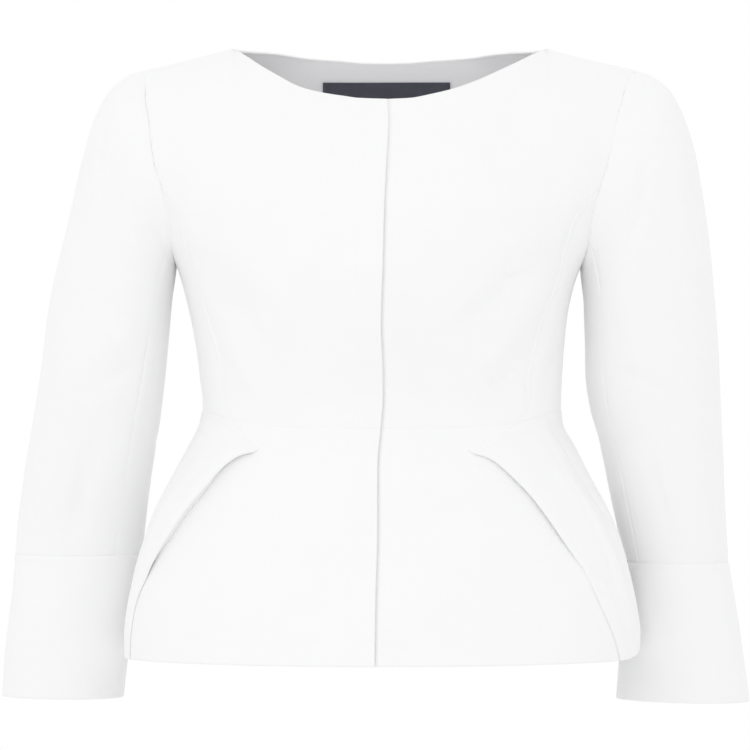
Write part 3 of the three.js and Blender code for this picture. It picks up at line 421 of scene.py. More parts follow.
def fold_height(folds, x, z):
    height = 0
    for x0, z0, x1, z1, width, top in zip(*folds.values()):
        dx, dz = x1 - x0, z1 - z0
        along = ((x - x0) * dx + (z - z0) * dz) / (dx * dx + dz * dz)
        off = ((x - x0) * dz - (z - z0) * dx) / math.hypot(dx, dz)
        fade = smooth(along, *FOLD_ENDS["start"]) * (1 - smooth(along, *FOLD_ENDS["end"]))
        height = height + top * fade * np.exp(-((off / width) ** 2))
    return height


def solve(low, high, falling):
    """Where a falling function reaches zero between two limits."""
    for _ in range(HALVINGS):
        middle = (low + high) / 2
        before = falling(middle) > 0
        low, high = np.where(before, middle, low), np.where(before, high, middle)
    return (low + high) / 2


# Bodice

def by_side(x, right, left):
    return np.where(x < 0, right, left)


def half_width(x, z):
    return by_side(x, bodice[RIGHT](z), bodice[LEFT](z))


def neck_half(x):
    return by_side(x, NECK_HALF[RIGHT], NECK_HALF[LEFT])


def shoulder_height(x):
    return shoulder_top(np.abs(x) - neck_half(x))


def bodice_depth(face, x, z):
    drop = np.clip((shoulder_height(x) - z) / SHOULDER_ROUND, 0, 1)
    return bodice[face](z) * rounded(np.abs(x) / half_width(x, z)) * np.sqrt(1 - (1 - drop) ** 2)


def waist_seam(across):
    return WAIST_FRONT + WAIST_RISE * across**4


def armhole_at(side, angle):
    ring = sleeve_ring[side]
    z = lerp(ring["inZ"](0), ring["outZ"](0), (1 + np.cos(angle)) / 2)
    in_front = np.sin(angle) >= 0
    reach = np.where(in_front, ARMHOLE["front"], ARMHOLE["back"]) - ARMHOLE["egg"] * np.cos(angle)
    depth = np.abs(np.sin(angle)) * reach

    def left_over(x):
        x = x * SIGN[side]
        return np.where(in_front, bodice_depth("front", x, z), bodice_depth("back", x, z)) - depth

    x = solve(np.zeros_like(z), bodice[side](z), left_over) * SIGN[side]
    return np.stack([x, np.where(in_front, -depth, depth), z], -1)


def armhole_beside(side, face, share):
    """The armhole at a share of the way from a panel's notch up to the shoulder."""
    return armhole_at(side, -TOWARDS[face] * ARMHOLE["notch"] * (1 - share))


def panel_seam(side, face):
    """Distance of a panel's seam from the centre line, up to its notch in the armhole."""
    x, _, z = armhole_beside(side, face, np.array(0.0))
    rows = PRINCESS[face]
    return curve({"z": np.r_[rows["z"], z], side: np.r_[rows[side], abs(x)]}, "z", side)


def panel_boundary(side, face):
    """Outer edge of a front or back panel: the seam up to the notch, then the armhole."""
    armhole = armhole_beside(side, face, np.linspace(0, 1, ARMHOLE["points"]) ** ARMHOLE["crowding"])
    z, x = armhole[:, 2], np.abs(armhole[:, 0])
    return lambda height: np.where(height > z[0], np.interp(height, z, x), princess[side, face](height))


princess = {(side, face): panel_seam(side, face) for side in SIGN for face in TOWARDS}
panel_edge = {(side, face): panel_boundary(side, face) for side in SIGN for face in TOWARDS}


def side_fade(x, z):
    return smooth(rounded(np.abs(x) / half_width(x, z)), 0, FOLD_START["side"])


def bodice_point(face, x, z, lift=0):
    depth = bodice_depth(face, x, z) + fold_height(BODICE_FOLDS[face], x, z) * side_fade(x, z) + lift
    return np.stack([x, TOWARDS[face] * depth, z], -1)


def spacing(length, first=True, last=True):
    """Places from 0 to 1 along a length of cloth, closer together towards the edges that are named."""
    start = np.array(EDGE_STEPS if first else (0,)) / length
    end = 1 - np.array(EDGE_STEPS if last else (0,))[::-1] / length
    middle = np.linspace(start[-1], end[0], max(2, round((end[0] - start[-1]) * length / STEP) + 1))
    return np.r_[start[:-1], middle, end[1:]]


def held_columns(offsets, shares):
    """Columns that keep a set distance from the inner edge, and then share the rest of the width."""
    held = offsets[-1]
    offset = np.r_[offsets, np.full(len(shares) - 1, held)][:, None]
    return offset, np.r_[np.zeros(len(offsets)), shares[1:]][:, None], held


def panel(side, face, inner_edge, offsets, shares, rows):
    """Places across and heights of a half panel, in columns from its inner edge and rows from the waist."""
    sign = SIGN[side]
    offset, share, held = held_columns(offsets, shares)
    edge = panel_edge[side, face]

    def across(z):
        # Near the shoulder only the outer columns follow the armhole, and the others stand upright
        outer = lerp(edge(np.minimum(z, UPRIGHT["above"])), edge(z), smooth(share, UPRIGHT["share"], 1))
        inner = inner_edge(z)
        return inner + sign * offset + share * (sign * outer - inner - sign * held)

    neck = neck_edge[side if face == "front" else "back"]

    def top_of(x):
        half = neck_half(x)
        return np.where(np.abs(x) < half, neck(np.abs(x) / half), shoulder_height(x))

    bottom = waist_seam(np.abs(across(WAIST_FRONT)) / bodice[side](WAIST_FRONT))
    top = solve(*(np.full_like(bottom, limit) for limit in TOP_LIMITS), lambda z: top_of(across(z)) - z)
    top[-1] = sleeve_ring[side]["outZ"](0)
    fine = 1 - (1 - np.linspace(0, 1, COLUMN_POINTS)) ** 2
    z = lerp(bottom, top, fine)
    x = across(z)
    line = np.stack([x, bodice_depth(face, x, z), z], -1)
    run = np.cumsum(np.linalg.norm(np.diff(line, axis=1), axis=2), axis=1)
    run = np.c_[np.zeros(len(run)), run]
    # Rows run level across the columns, apart from the upper ones, where the columns' own lengths tell
    length, place = run[:, -1], np.abs(x[:, 0])
    near = np.exp(-(((place[:, None] - place) / ROW_SMOOTHING) ** 2)) * np.gradient(place)
    level = near @ length / near.sum(1)
    reach = rows * level[:, None] + (length - level)[:, None] * rows**ROW_POWER
    z = np.array([np.interp(goal, along, height) for goal, along, height in zip(reach, run, z)])
    return across(z), z


def panel_shares(side, width, inner, held):
    """Shares of a panel's columns. One ends in the neck point, and those inside it are close together,
    because the neck edge runs from the front to the back there."""
    shared = float(panel_edge[side, "front"](0.0)) - SIGN[side] * inner - held
    point = (NECK_HALF[side] - SIGN[side] * inner - held) / shared
    shares = spacing(width, first=False)
    away = (point - shares) * shared
    kept = shares[(away > NECK_TURN[-1] + NECK_CLEAR) | (away < -NECK_CLEAR)]
    return np.sort(np.r_[kept, point, point - np.array(NECK_TURN) / shared])


# Sleeves

def ring_point(ring, side, at, angle):
    share = (1 + np.cos(angle)) / 2
    x = lerp(ring["inX"](at), ring["outX"](at), share) * SIGN[side]
    z = lerp(ring["inZ"](at), ring["outZ"](at), share)
    y = ring["middle"](at) - ring["depth"](at) * np.sin(angle)
    return np.stack(np.broadcast_arrays(x, y, z), -1)


def sleeve_angle(side, angle, at):
    """The front seam drifts round the sleeve on its way down."""
    drift = FRONT_SEAM_DRIFT
    last = SLEEVE[side]["ring"][-1]
    near = np.maximum(0, 1 - np.abs(np.degrees(angle) % 360 - drift["middle"]) / drift["reach"])
    return angle + math.radians(drift[side]) * near * smooth(at / last, drift["start"], 1)


def sleeve_point(side, angle, at):
    turned = sleeve_angle(side, angle, at)
    ring = sleeve_ring[side]
    plain = ring_point(ring, side, at, turned)
    point = lerp(armhole_at(side, turned), plain, smooth(at, 0, ARMHOLE_BLEND)[..., None])
    out = unit(plain - ring_point(ring, side, at, turned + math.pi))
    height = fold_height(SLEEVE_FOLDS[side], np.degrees(turned) % 360, ring["outZ"](at))
    return point + out * (height * smooth(at, 0, FOLD_START["sleeve"]))[..., None]


def eased(side, points):
    """Swells the cloth along the armhole, so that the sleeve runs on from the shoulder without a valley."""
    ease = ARMHOLE_EASE
    angle = np.radians(np.arange(0, 360, ease["step"]))
    line = armhole_at(side, angle)
    ring = sleeve_ring[side]
    out = unit(ring_point(ring, side, 0, angle) - ring_point(ring, side, 0, angle + np.pi))
    turn = np.degrees(np.minimum(angle, 2 * np.pi - angle))
    height = ease["height"] * smooth(turn, *ease["rise"]) * (1 - smooth(turn, *ease["fall"]))
    away = np.linalg.norm(points[..., None, :] - line, axis=-1)
    near = away.argmin(-1)
    swell = height[near] * np.exp(-away.min(-1) / ease["reach"])
    return points + out[near] * swell[..., None]


def unit(vectors):
    return vectors / np.maximum(np.linalg.norm(vectors, axis=-1, keepdims=True), 1e-12)


# Peplum: the angle is 0 at the side, minus in front and plus behind

def hem_height(x_sign, angle):
    """The hem, which rises at the left side as in the photograph."""
    away = np.degrees(angle) / HEM_CORNER["reach"]
    corner = np.where(x_sign > 0, HEM_CORNER["height"], 0) * np.exp(-(away ** 2))
    return HEM + HEM_RISE * np.sin(2 * angle) ** 2 + corner


def peplum_half(x, down):
    return by_side(x, peplum[RIGHT](down), peplum[LEFT](down))


def peplum_point(x_sign, angle, down):
    across = across_at(angle)
    half = peplum_half(x_sign, down)
    forward = peplum["forward"](down)
    depth = np.where(angle < 0, -(peplum["front"](down) - forward), peplum["back"](down) + forward)
    y = -forward + depth * outwards(angle)
    z = lerp(waist_seam(across), hem_height(x_sign, angle), down)
    return np.stack(np.broadcast_arrays(half * across * x_sign, y, z), -1)


def peplum_folds(right, left, x_sign, angle, down):
    place, height = np.degrees(angle) * PEPLUM_DEGREE, down * (HEM - WAIST_FRONT)
    return by_side(x_sign, fold_height(right, place, height), fold_height(left, place, height))


def peplum_lift(x_sign, angle, down):
    folds = peplum_folds(PEPLUM_FOLDS[RIGHT], PEPLUM_FOLDS[LEFT], x_sign, angle, down)
    return folds * smooth(down, 0, FOLD_START["peplum"])


def peplum_creases(x_sign, angle, down):
    creases = peplum_folds(CREASES["peplum_right"], CREASES["peplum_left"], x_sign, angle, down)
    return creases * smooth(down, *CREASE_START["peplum"])


def peplum_place(x_sign, angle, down, lift):
    """Points lifted off the plain section, along its own normal."""
    step = 1e-3
    point = peplum_point(x_sign, angle, down)
    du = peplum_point(x_sign, angle + step, down) - peplum_point(x_sign, angle - step, down)
    dv = peplum_point(x_sign, angle, down + step) - peplum_point(x_sign, angle, down - step)
    out = unit(np.cross(du, dv))
    guide = np.stack(np.broadcast_arrays(np.cos(angle) * x_sign, np.sin(angle), 0 * angle), -1)
    out = out * np.sign((out * guide).sum(-1, keepdims=True))
    return point + out * np.asarray(lift)[..., None]


def front_end(side, down):
    top, hem = PEPLUM_FRONT_END[side]
    return -np.radians(lerp(top, hem, np.sqrt(down)))


def flap_top(side, across):
    inner = FLAP[side]["across"][0]
    run = np.clip((FLAP_START[side] - across) / (FLAP_START[side] - inner), 0, 1)
    return FLAP[side]["share"][0] * run**FLAP_CURVE


# Cloth

def grid_normals(points, outside, loop=False):
    if loop:
        du = np.roll(points, -1, 0) - np.roll(points, 1, 0)
    else:
        du = np.gradient(points, axis=0)
    normal = unit(np.cross(du, np.gradient(points, axis=1)))
    return normal * np.sign((normal * outside).sum())


def border_distances(points, loop):
    """How far each point lies from the four borders, along the cloth."""
    du = np.linalg.norm(np.diff(points, axis=0), axis=2)
    dv = np.linalg.norm(np.diff(points, axis=1), axis=2)
    across = np.vstack([np.zeros(points.shape[1]), np.cumsum(du, 0)])
    along = np.c_[np.zeros(points.shape[0]), np.cumsum(dv, 1)]
    far = np.full(points.shape[:2], 1e6)
    return {
        "first": far if loop else across, "last": far if loop else across[-1:] - across,
        "start": along, "end": along[:, -1:] - along, "across": across, "along": along,
    }


def slow_waves(points):
    height = 0
    for x, y, z, length, phase, top in zip(*WAVES.values()):
        height = height + top * np.sin(2 * np.pi * (points @ (x, y, z)) / length + phase)
    return height


def puckers(points):
    along = points @ PUCKER_RUN["direction"]
    short = np.sin(2 * np.pi * along / PUCKER_RUN["length"] + 1.7 * np.sin(along / PUCKER_RUN["drift"]))
    return short + 0.5 * np.sin(2 * np.pi * along / PUCKER_RUN["long"] + 2)


# How a border ends: free or sewn, with the allowance pressed along it, and how far its seam's roll reaches
Edge = namedtuple("Edge", "free pressed reach", defaults=(SEAM_ROLL["reach"],))
SEAM, PRESSED, FREE, WAIST = Edge(0, 0), Edge(0, 1), Edge(1, 0), Edge(0, 0, WAIST_ROLL)
INWARD = {"first": (1, 0), "last": (-1, 0), "start": (0, 1), "end": (0, -1)}


def along_border(value, border):
    """A value, or one for each point of a border, shaped to fit the grid."""
    value = np.atleast_1d(value)
    return value[:, None] if border in ("start", "end") else value[None, :]


def sewn_relief(points, gone, edges, relief):
    """What stands out from the plain form: waves, creases, the press marks of seam allowances and a little
    puckering. At a seam all of it ends, so that two pieces meet in the same line."""
    lift = slow_waves(points) + SEAM_ROLL["depth"] + relief
    for border, edge in edges.items():
        away, free = gone[border], along_border(edge.free, border)
        lift = lift - free * FREE_ROLL["depth"] * np.exp(-((away / FREE_ROLL["reach"]) ** 2))
        near = np.exp(-((away / PUCKER["reach"]) ** 2))
        lift = lift + (1 - free) * PUCKER["height"] * puckers(points) * near
        ends = smooth(away, ALLOWANCE["width"] - ALLOWANCE["step"], ALLOWANCE["width"])
        lift = lift + edge.pressed * ALLOWANCE["height"] * (1 - ends)
    for border, edge in edges.items():
        near = np.exp(-((gone[border] / edge.reach) ** 2))
        lift = lift * (1 - (1 - along_border(edge.free, border)) * near)
    return lift


def border_paths(columns, rows, loop):
    """The border points in order, each with the borders that it lies on."""
    last, end = columns - 1, rows - 1
    if loop:
        return [[(i, 0, ("start",)) for i in range(columns)], [(i, end, ("end",)) for i in range(columns)]]
    round_it = [(i, 0) for i in range(last)] + [(last, j) for j in range(end)]
    round_it += [(i, end) for i in range(last, 0, -1)] + [(0, j) for j in range(end, 0, -1)]

    def borders_at(i, j):
        there = {"first": i == 0, "last": i == last, "start": j == 0, "end": j == end}
        return tuple(border for border in there if there[border])

    return [[(i, j, borders_at(i, j)) for i, j in round_it]]


def border_moves(grid, normals, path, edges, ply):
    """For each border point, the way out of the cloth, as far as its rounded edge stands out there."""
    out = np.zeros((len(path), 3))
    spot = {(i, j): k for k, (i, j, _) in enumerate(path)}
    for border, edge in edges.items():
        line = [(i, j) for i, j, borders in path if border in borders]
        if not line:
            continue
        line.sort()
        di, dj = INWARD[border]
        free = np.broadcast_to(edge.free, len(line)).astype(float)
        at = tuple(np.array(line).T)
        point, normal = grid[at], normals[at]
        inward = grid[at[0] + di, at[1] + dj] - point
        step = np.diff(point, axis=0) * (free[1:] * free[:-1])[:, None]
        none = np.zeros((1, 3))
        along = unit(np.r_[none, step] + np.r_[step, none])
        away = np.cross(along, normal)
        away = unit(away) * -np.sign((away * inward).sum())
        for place, move in zip(line, away * (free * ply / 2 * EDGE_BULGE)[:, None]):
            out[spot[place]] += move
    return out


def calmed(normals, rounds, loop):
    """Normals averaged with their neighbours, so that the inner layer doesn't fold over in a tight hollow."""
    for _ in range(rounds):
        wide = np.concatenate([normals[-1:], normals, normals[:1]] if loop else
                              [normals[:1], normals, normals[-1:]])
        normals = wide[:-2] + 2 * wide[1:-1] + wide[2:]
        wide = np.concatenate([normals[:, :1], normals, normals[:, -1:]], 1)
        normals = unit(wide[:, :-2] + 2 * wide[:, 1:-1] + wide[:, 2:])
    return normals


def shell(outer, normals, depth, lined_with_painted_light, edges, gone, ply, loop):
    """Points, faces and places on the cloth of a sheet with thickness and rounded or straight edges."""
    columns, rows = outer.shape[:2]
    count = columns * rows
    index = np.arange(count).reshape(columns, rows)
    paths = border_paths(columns, rows, loop)
    outs = []
    for path in paths:
        outs.append(border_moves(outer, normals, path, edges, ply))
        for i, j, borders in path:
            outer[i, j] -= sum(unit(outer[i, j] - outer[i + di, j + dj]) * BUTT / 2
                               for di, dj in (INWARD[border] for border in borders))
    points = [outer.reshape(-1, 3), (outer - normals * depth[..., None]).reshape(-1, 3)]
    inside = [np.zeros(count), lined_with_painted_light.ravel()]
    place = np.stack([gone["across"], gone["along"]], -1).reshape(-1, 2)
    places = [place, place]
    wrap = np.r_[index, index[:1]] if loop else index
    quads = np.stack([wrap[:-1, :-1], wrap[1:, :-1], wrap[1:, 1:], wrap[:-1, 1:]], -1).reshape(-1, 4)
    faces = [quads, quads[:, ::-1] + count]
    total = 2 * count
    for path, out in zip(paths, outs):
        at = np.array([index[i, j] for i, j, _ in path])
        half, middle = (points[0][at] - points[1][at]) / 2, (points[0][at] + points[1][at]) / 2
        rings = [at]
        for turn in (math.pi / 4, math.pi / 2, 3 * math.pi / 4):
            points.append(middle + half * math.cos(turn) + out * math.sin(turn))
            places.append(place[at])
            inside.append(np.zeros(len(path)))
            rings.append(np.arange(total, total + len(path)))
            total += len(path)
        rings.append(at + count)
        for upper, lower in zip(rings, rings[1:]):
            faces.append(np.stack([upper, lower, np.roll(lower, -1), np.roll(upper, -1)], -1))
    return np.vstack(points), np.vstack(faces), np.vstack(places), np.concatenate(inside)


def cloth(name, points, outside, edges, loop=False, relief=0, ply=PLY, facing=None, lining_with_painted_light=True, finish=None,
          fold=None):
    """A piece of cloth over a grid of points, which stands for the node of the same name."""
    normals = grid_normals(points, outside, loop)
    gone = border_distances(points, loop)
    outer = points + normals * sewn_relief(points, gone, edges, relief)[..., None]
    if fold is not None:
        outer, edges, outside = turned_under(outer, normals, edges, fold)
        gone = border_distances(outer, loop)
    normals = grid_normals(outer, outside, loop)
    # Marks the inner layer, whose finish is painted lighter than the outside: painted light for the shade
    # inside the jacket
    inside = np.full(outer.shape[:2], float(lining_with_painted_light))
    depth = ply + 0 * inside
    for border, width in (facing or {}).items():
        over = 1 - smooth(gone[border], width - FACING_BLEND, width + FACING_BLEND)
        depth = np.maximum(depth, ply + FACING_STEP * over)
    normals = calmed(normals, INNER_ROUNDS if fold is None else 0, loop)
    piece = mesh_piece(f"cloth_{name}", *shell(outer, normals, depth, inside, edges, gone, ply, loop))
    piece.data.materials.append(finish or CLOTH)
    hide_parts(name)
    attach(piece, "root")


def turned_under(outer, normals, edges, stand):
    """Turns the first border of a flap under by a short return, which goes down to the cloth below it. stand
    is how far the flap's outside lies above that cloth."""
    radius = np.clip(stand[0] / 2, *FLAP_BEND.values())[:, None]
    into = unit(outer[1] - outer[0])
    centre = outer[0] - normals[0] * radius
    bend = [centre + normals[0] * radius * math.cos(turn) - into * radius * math.sin(turn)
            for turn in np.linspace(0, math.pi, BEND_STEPS)[1:-1]]
    gone = np.cumsum(np.linalg.norm(np.diff(outer, axis=0), axis=2), 0).mean(1)
    under = []
    for k in range(int((gone < FLAP_RETURN).sum())):
        below = np.maximum(2 * radius, stand[k][:, None])
        under.append(outer[k] - normals[k] * lerp(2 * radius, below, smooth(gone[k], gone[0], FLAP_CLOSE)))
    grid = np.array(under[::-1] + bend[::-1] + list(outer))
    # The folded part faces the body, so the outside is told by the rest alone
    outside = np.r_[np.zeros((len(grid) - len(outer), *outer.shape[1:])), normals]
    return grid, {**edges, "first": FREE}, outside


def mesh_piece(name, vertices, faces, uvs, inside):
    mesh = bpy.data.meshes.new(name)
    mesh.from_pydata((vertices * MM).tolist(), [], faces.tolist())
    layer = mesh.uv_layers.new(name="cloth")
    corners = np.empty(len(mesh.loops), int)
    mesh.loops.foreach_get("vertex_index", corners)
    layer.data.foreach_set("uv", (uvs[corners] * MM).ravel())
    mesh.attributes.new("inside", "FLOAT", "POINT").data.foreach_set("value", inside)
    shape = bmesh.new()
    shape.from_mesh(mesh)
    bmesh.ops.recalc_face_normals(shape, faces=shape.faces)
    for edge in shape.edges:
        edge.smooth = edge.calc_face_angle(0) < SHARP
    shape.to_mesh(mesh)
    shape.free()
    mesh.shade_smooth()
    piece = bpy.data.objects.new(name, mesh)
    bpy.context.scene.collection.objects.link(piece)
    return piece


# Finishes

class Number:
    """A number on its way through a material, so that its maths reads as plain sums."""

    def __init__(self, finish, socket):
        self.finish, self.socket = finish, socket

    def __add__(self, other):
        return self.finish.maths("ADD", self, other)

    def __radd__(self, other):
        return self.finish.maths("ADD", other, self)

    def __sub__(self, other):
        return self.finish.maths("SUBTRACT", self, other)

    def __rsub__(self, other):
        return self.finish.maths("SUBTRACT", other, self)

    def __mul__(self, other):
        return self.finish.maths("MULTIPLY", self, other)

    def __rmul__(self, other):
        return self.finish.maths("MULTIPLY", other, self)


class Finish:
    def __init__(self, name):
        self.material = bpy.data.materials.new(name)
        self.material.use_nodes = True
        self.tree = self.material.node_tree
        self.tree.nodes.clear()

    def add(self, kind, settings=None, **sockets):
        node = self.tree.nodes.new(kind)
        for key, value in (settings or {}).items():
            setattr(node, key, value)
        for key, value in sockets.items():
            self.feed(node.inputs[key.replace("_", " ")], value)
        return node

    def feed(self, socket, value):
        if isinstance(value, Number):
            value = value.socket
        if isinstance(value, bpy.types.NodeSocket):
            self.tree.links.new(value, socket)
        else:
            socket.default_value = value

    def maths(self, operation, *numbers):
        node = self.add("ShaderNodeMath", {"operation": operation})
        for socket, number in zip(node.inputs, numbers):
            self.feed(socket, number)
        return Number(self, node.outputs[0])

    def sine(self, number):
        return self.maths("SINE", number)

    def cloth_places(self):
        """The place in the piece, and the places along and across its cloth."""
        places = self.add("ShaderNodeTexCoord")
        split = self.add("ShaderNodeSeparateXYZ", Vector=places.outputs["UV"])
        return places.outputs["Object"], Number(self, split.outputs[0]), Number(self, split.outputs[1])

    def noise(self, place, scale, detail=2.0, roughness=0.5):
        node = self.add("ShaderNodeTexNoise", Vector=place, Scale=scale, Detail=detail, Roughness=roughness)
        return Number(self, node.outputs["Factor" if "Factor" in node.outputs else "Fac"])

    def mix(self, share, one, other):
        node = self.add("ShaderNodeMix", {"data_type": "RGBA"})
        self.feed(node.inputs["Factor"], share)
        self.feed(node.inputs[6], one)
        self.feed(node.inputs[7], other)
        return node.outputs[2]

    def bump(self, height, distance, strength):
        node = self.add("ShaderNodeBump", Height=height, Distance=distance, Strength=strength)
        return node.outputs["Normal"]

    def surface(self, **sockets):
        shader = self.add("ShaderNodeBsdfPrincipled", **sockets)
        self.add("ShaderNodeOutputMaterial", Surface=shader.outputs[0])
        return self.material


# Radians of thread to a metre, and how fine the uneven places of the cloth are
CREPE = {"warp": 8200.0, "weft": 7400.0, "uneven": 420.0, "pebble": 1150.0, "slub": 190.0, "cloud": 26.0}
SATIN = {"warp": 9000.0, "weft": 13500.0, "uneven": 520.0, "cloud": 70.0}


def crepe(name, colour, shade, lining_with_painted_light):
    """Matt crepe: crossed threads of uneven thickness under a fine pebbled surface. Inside it is smooth
    satin, whose
    colour is painted lighter than the crepe: painted light that lifts the shade inside the jacket."""
    finish = Finish(name)
    body, warp, weft = finish.cloth_places()
    lined_with_painted_light = Number(finish, finish.add("ShaderNodeAttribute", {"attribute_name": "inside"}).outputs["Fac"])
    uneven = finish.noise(body, CREPE["uneven"])
    along = finish.sine(warp * CREPE["warp"] + uneven * 7.0)
    threads = along * finish.sine(weft * CREPE["weft"] + uneven * 6.0)
    pebble = finish.noise(body, CREPE["pebble"], 3.0, 0.6)
    slub = finish.noise(body, CREPE["slub"], 2.0, 0.6)
    height = (threads * 0.25 + pebble * 0.9 + slub * 0.35) * (1 - lined_with_painted_light * 0.85)
    cloud = finish.noise(body, CREPE["cloud"], 3.0, 0.55)
    tone = (cloud - 0.5) * 0.9 + (pebble - 0.5) * 0.8 + 0.5
    # The inner layer takes the third colour, painted lighter than the crepe: painted light that lifts the
    # shade inside the jacket. Elsewhere the tone varies at random.
    return finish.surface(
        Base_Color=finish.mix(lined_with_painted_light, finish.mix(tone, shade, colour), lining_with_painted_light),
        Roughness=(pebble * 0.14 + 0.76) * (1 - lined_with_painted_light) + lined_with_painted_light * 0.52,
        IOR=1.4,
        Specular_IOR_Level=0.25,
        Sheen_Weight=0.4,
        Sheen_Roughness=0.5,
        Normal=finish.bump(height, 0.00011, 0.55),
    )


def woven_label(name, colour, shade):
    """Navy satin ribbon: close weft threads with a soft gloss."""
    finish = Finish(name)
    body, warp, weft = finish.cloth_places()
    uneven = finish.noise(body, SATIN["uneven"])
    threads = finish.sine(weft * SATIN["weft"] + uneven * 4.0)
    crossing = finish.sine(warp * SATIN["warp"] + uneven * 5.0)
    cloud = finish.noise(body, SATIN["cloud"], 3.0, 0.6)
    tone = threads * 0.18 + crossing * 0.12 + cloud * 0.9
    return finish.surface(
        Base_Color=finish.mix(tone, shade, colour),
        Roughness=0.46 + cloud * 0.2,
        Specular_IOR_Level=0.4,
        Sheen_Weight=0.1,
        Normal=finish.bump(threads * 0.6 + crossing * 0.4 + uneven * 0.5, 0.00008, 0.6),
    )


# The third colour, for the inner satin, is painted light: lighter than the crepe, to lift the shade inside
# the jacket
CLOTH = crepe("white crepe", (0.915, 0.915, 0.915, 1), (0.896, 0.897, 0.900, 1), (0.958, 0.958, 0.968, 1))
LABEL_CLOTH = woven_label("navy satin", (0.088, 0.090, 0.118, 1), (0.052, 0.053, 0.075, 1))

# Pieces, and the way out of the cloth in front and behind
OUT = {"front": np.array([0, -1, 0]), "back": np.array([0, 1, 0])}


def underlap_edge(z):
    return front_edge(z) - UNDERLAP


def neck_and_shoulder(top_x):
    """The upper border of a panel: free along the neck, sewn along the shoulder."""
    return Edge((np.abs(top_x) < neck_half(top_x) + 0.01).astype(float), 0)


def princess_hollow(side, x, z):
    """The shallow hollow along the front panel seam, which shows as a soft shade."""
    away = (np.abs(x) - princess[side, "front"](z)) / HOLLOW["reach"]
    height = smooth(z, HOLLOW["from"], HOLLOW["full"]) * (1 - smooth(z, HOLLOW["still"], HOLLOW["to"]))
    return -HOLLOW[side] * height * np.exp(-away * away)


def underlap(side, past):
    """How deep the left front lies, at a distance past the right front's edge."""
    level = smooth(past, UNDERLAP_RISE["from"], UNDERLAP_RISE["to"])
    return -UNDERLAP_DROP * (1 - level) * (side == LEFT)


def placket(side, past):
    """The step beside the edge of the right front, where the facing lies under it."""
    width, step = PLACKET["width"], PLACKET["step"]
    return PLACKET["height"] * (1 - smooth(-past, width - step, width + step)) * (side == RIGHT)


def front(side):
    inner = front_edge if side == RIGHT else underlap_edge
    offsets = np.array(FRONT_COLUMNS[side])
    width, length = SPAN["front"]
    shares = panel_shares(side, width, float(inner(0.0)), offsets[-1])
    x, z = panel(side, "front", inner, offsets, shares, spacing(length))
    past = x - front_edge(z)
    points = eased(side, bodice_point("front", x, z, underlap(side, past)))
    relief = fold_height(CREASES["front"], x, z) * side_fade(x, z) + princess_hollow(side, x, z)
    cloth(f"front_{side}", points, OUT["front"],
          {"first": FREE, "last": PRESSED, "start": WAIST, "end": neck_and_shoulder(x[:, -1])},
          relief=relief + placket(side, past), facing={"first": FACING["front edge"], "end": FACING["neck"]})


def back():
    width, length = SPAN["back"]
    grids = []
    for side in SIGN:
        shares = panel_shares(side, width, 0, 0)
        grids.append(panel(side, "back", lambda z: 0 * z, np.array([0.0]), shares, spacing(length)))
    x, z = (np.vstack([right[::-1], left[1:]]) for right, left in zip(*grids))
    points = eased(RIGHT, eased(LEFT, bodice_point("back", x, z)))
    cloth("back", points, OUT["back"],
          {"first": PRESSED, "last": PRESSED, "start": SEAM, "end": neck_and_shoulder(x[:, -1])},
          relief=fold_height(CREASES["back"], x, z) * side_fade(x, z), facing={"end": FACING["back neck"]})


def side_panel(side):
    width, length = SPAN["side"]
    turn, up = spacing(width)[:, None], spacing(length)[None, :]
    angle_at = lambda face, z: angle_of(princess[side, face](z) / bodice[side](z))
    turn_to = lambda share, z: lerp(-angle_at("front", z), angle_at("back", z), share)
    bottom = waist_seam(across_at(turn_to(turn, np.full_like(turn, WAIST_FRONT))))
    top = armhole_at(side, lerp(ARMHOLE["notch"], 2 * np.pi - ARMHOLE["notch"], turn))
    top_x, top_y, top_z = (top[..., k] for k in range(3))
    top_turn = np.sign(top_y) * angle_of(np.abs(top_x) / bodice[side](top_z))
    top_share = (top_turn + angle_at("front", top_z)) / (angle_at("front", top_z) + angle_at("back", top_z))
    z = lerp(bottom, top_z, up)
    angle = turn_to(lerp(turn, top_share, up * up), z)
    in_front = angle < 0
    x = bodice[side](z) * across_at(angle) * SIGN[side]
    depth = np.where(in_front, bodice["front"](z), bodice["back"](z)) * outwards(angle)
    fade = side_fade(x, z)

    def by_face(folds):
        return np.where(in_front, fold_height(folds["front"], x, z), fold_height(folds["back"], x, z))

    y = np.where(in_front, -1, 1) * (depth + by_face(BODICE_FOLDS) * fade)
    relief = fade * by_face(CREASES) + np.where(in_front, princess_hollow(side, x, z), 0)
    cloth(f"side_{side}", eased(side, np.stack([x, y, z], -1)), np.array([SIGN[side], 0, 0]),
          {"first": PRESSED, "last": PRESSED, "start": SEAM, "end": SEAM}, relief=relief)


def rows_along(point_at, last, length):
    """Places down a sleeve that are evenly spaced on the cloth."""
    at = np.linspace(0, last, SLEEVE_LINES["points"])
    lines = np.array([point_at(np.full_like(at, angle), at) for angle in SLEEVE_LINES["angles"]])
    run = np.cumsum(np.linalg.norm(np.diff(lines, axis=1), axis=2), axis=1).mean(0)
    run = np.r_[0, run]
    return np.interp(spacing(length) * run[-1], run, at)


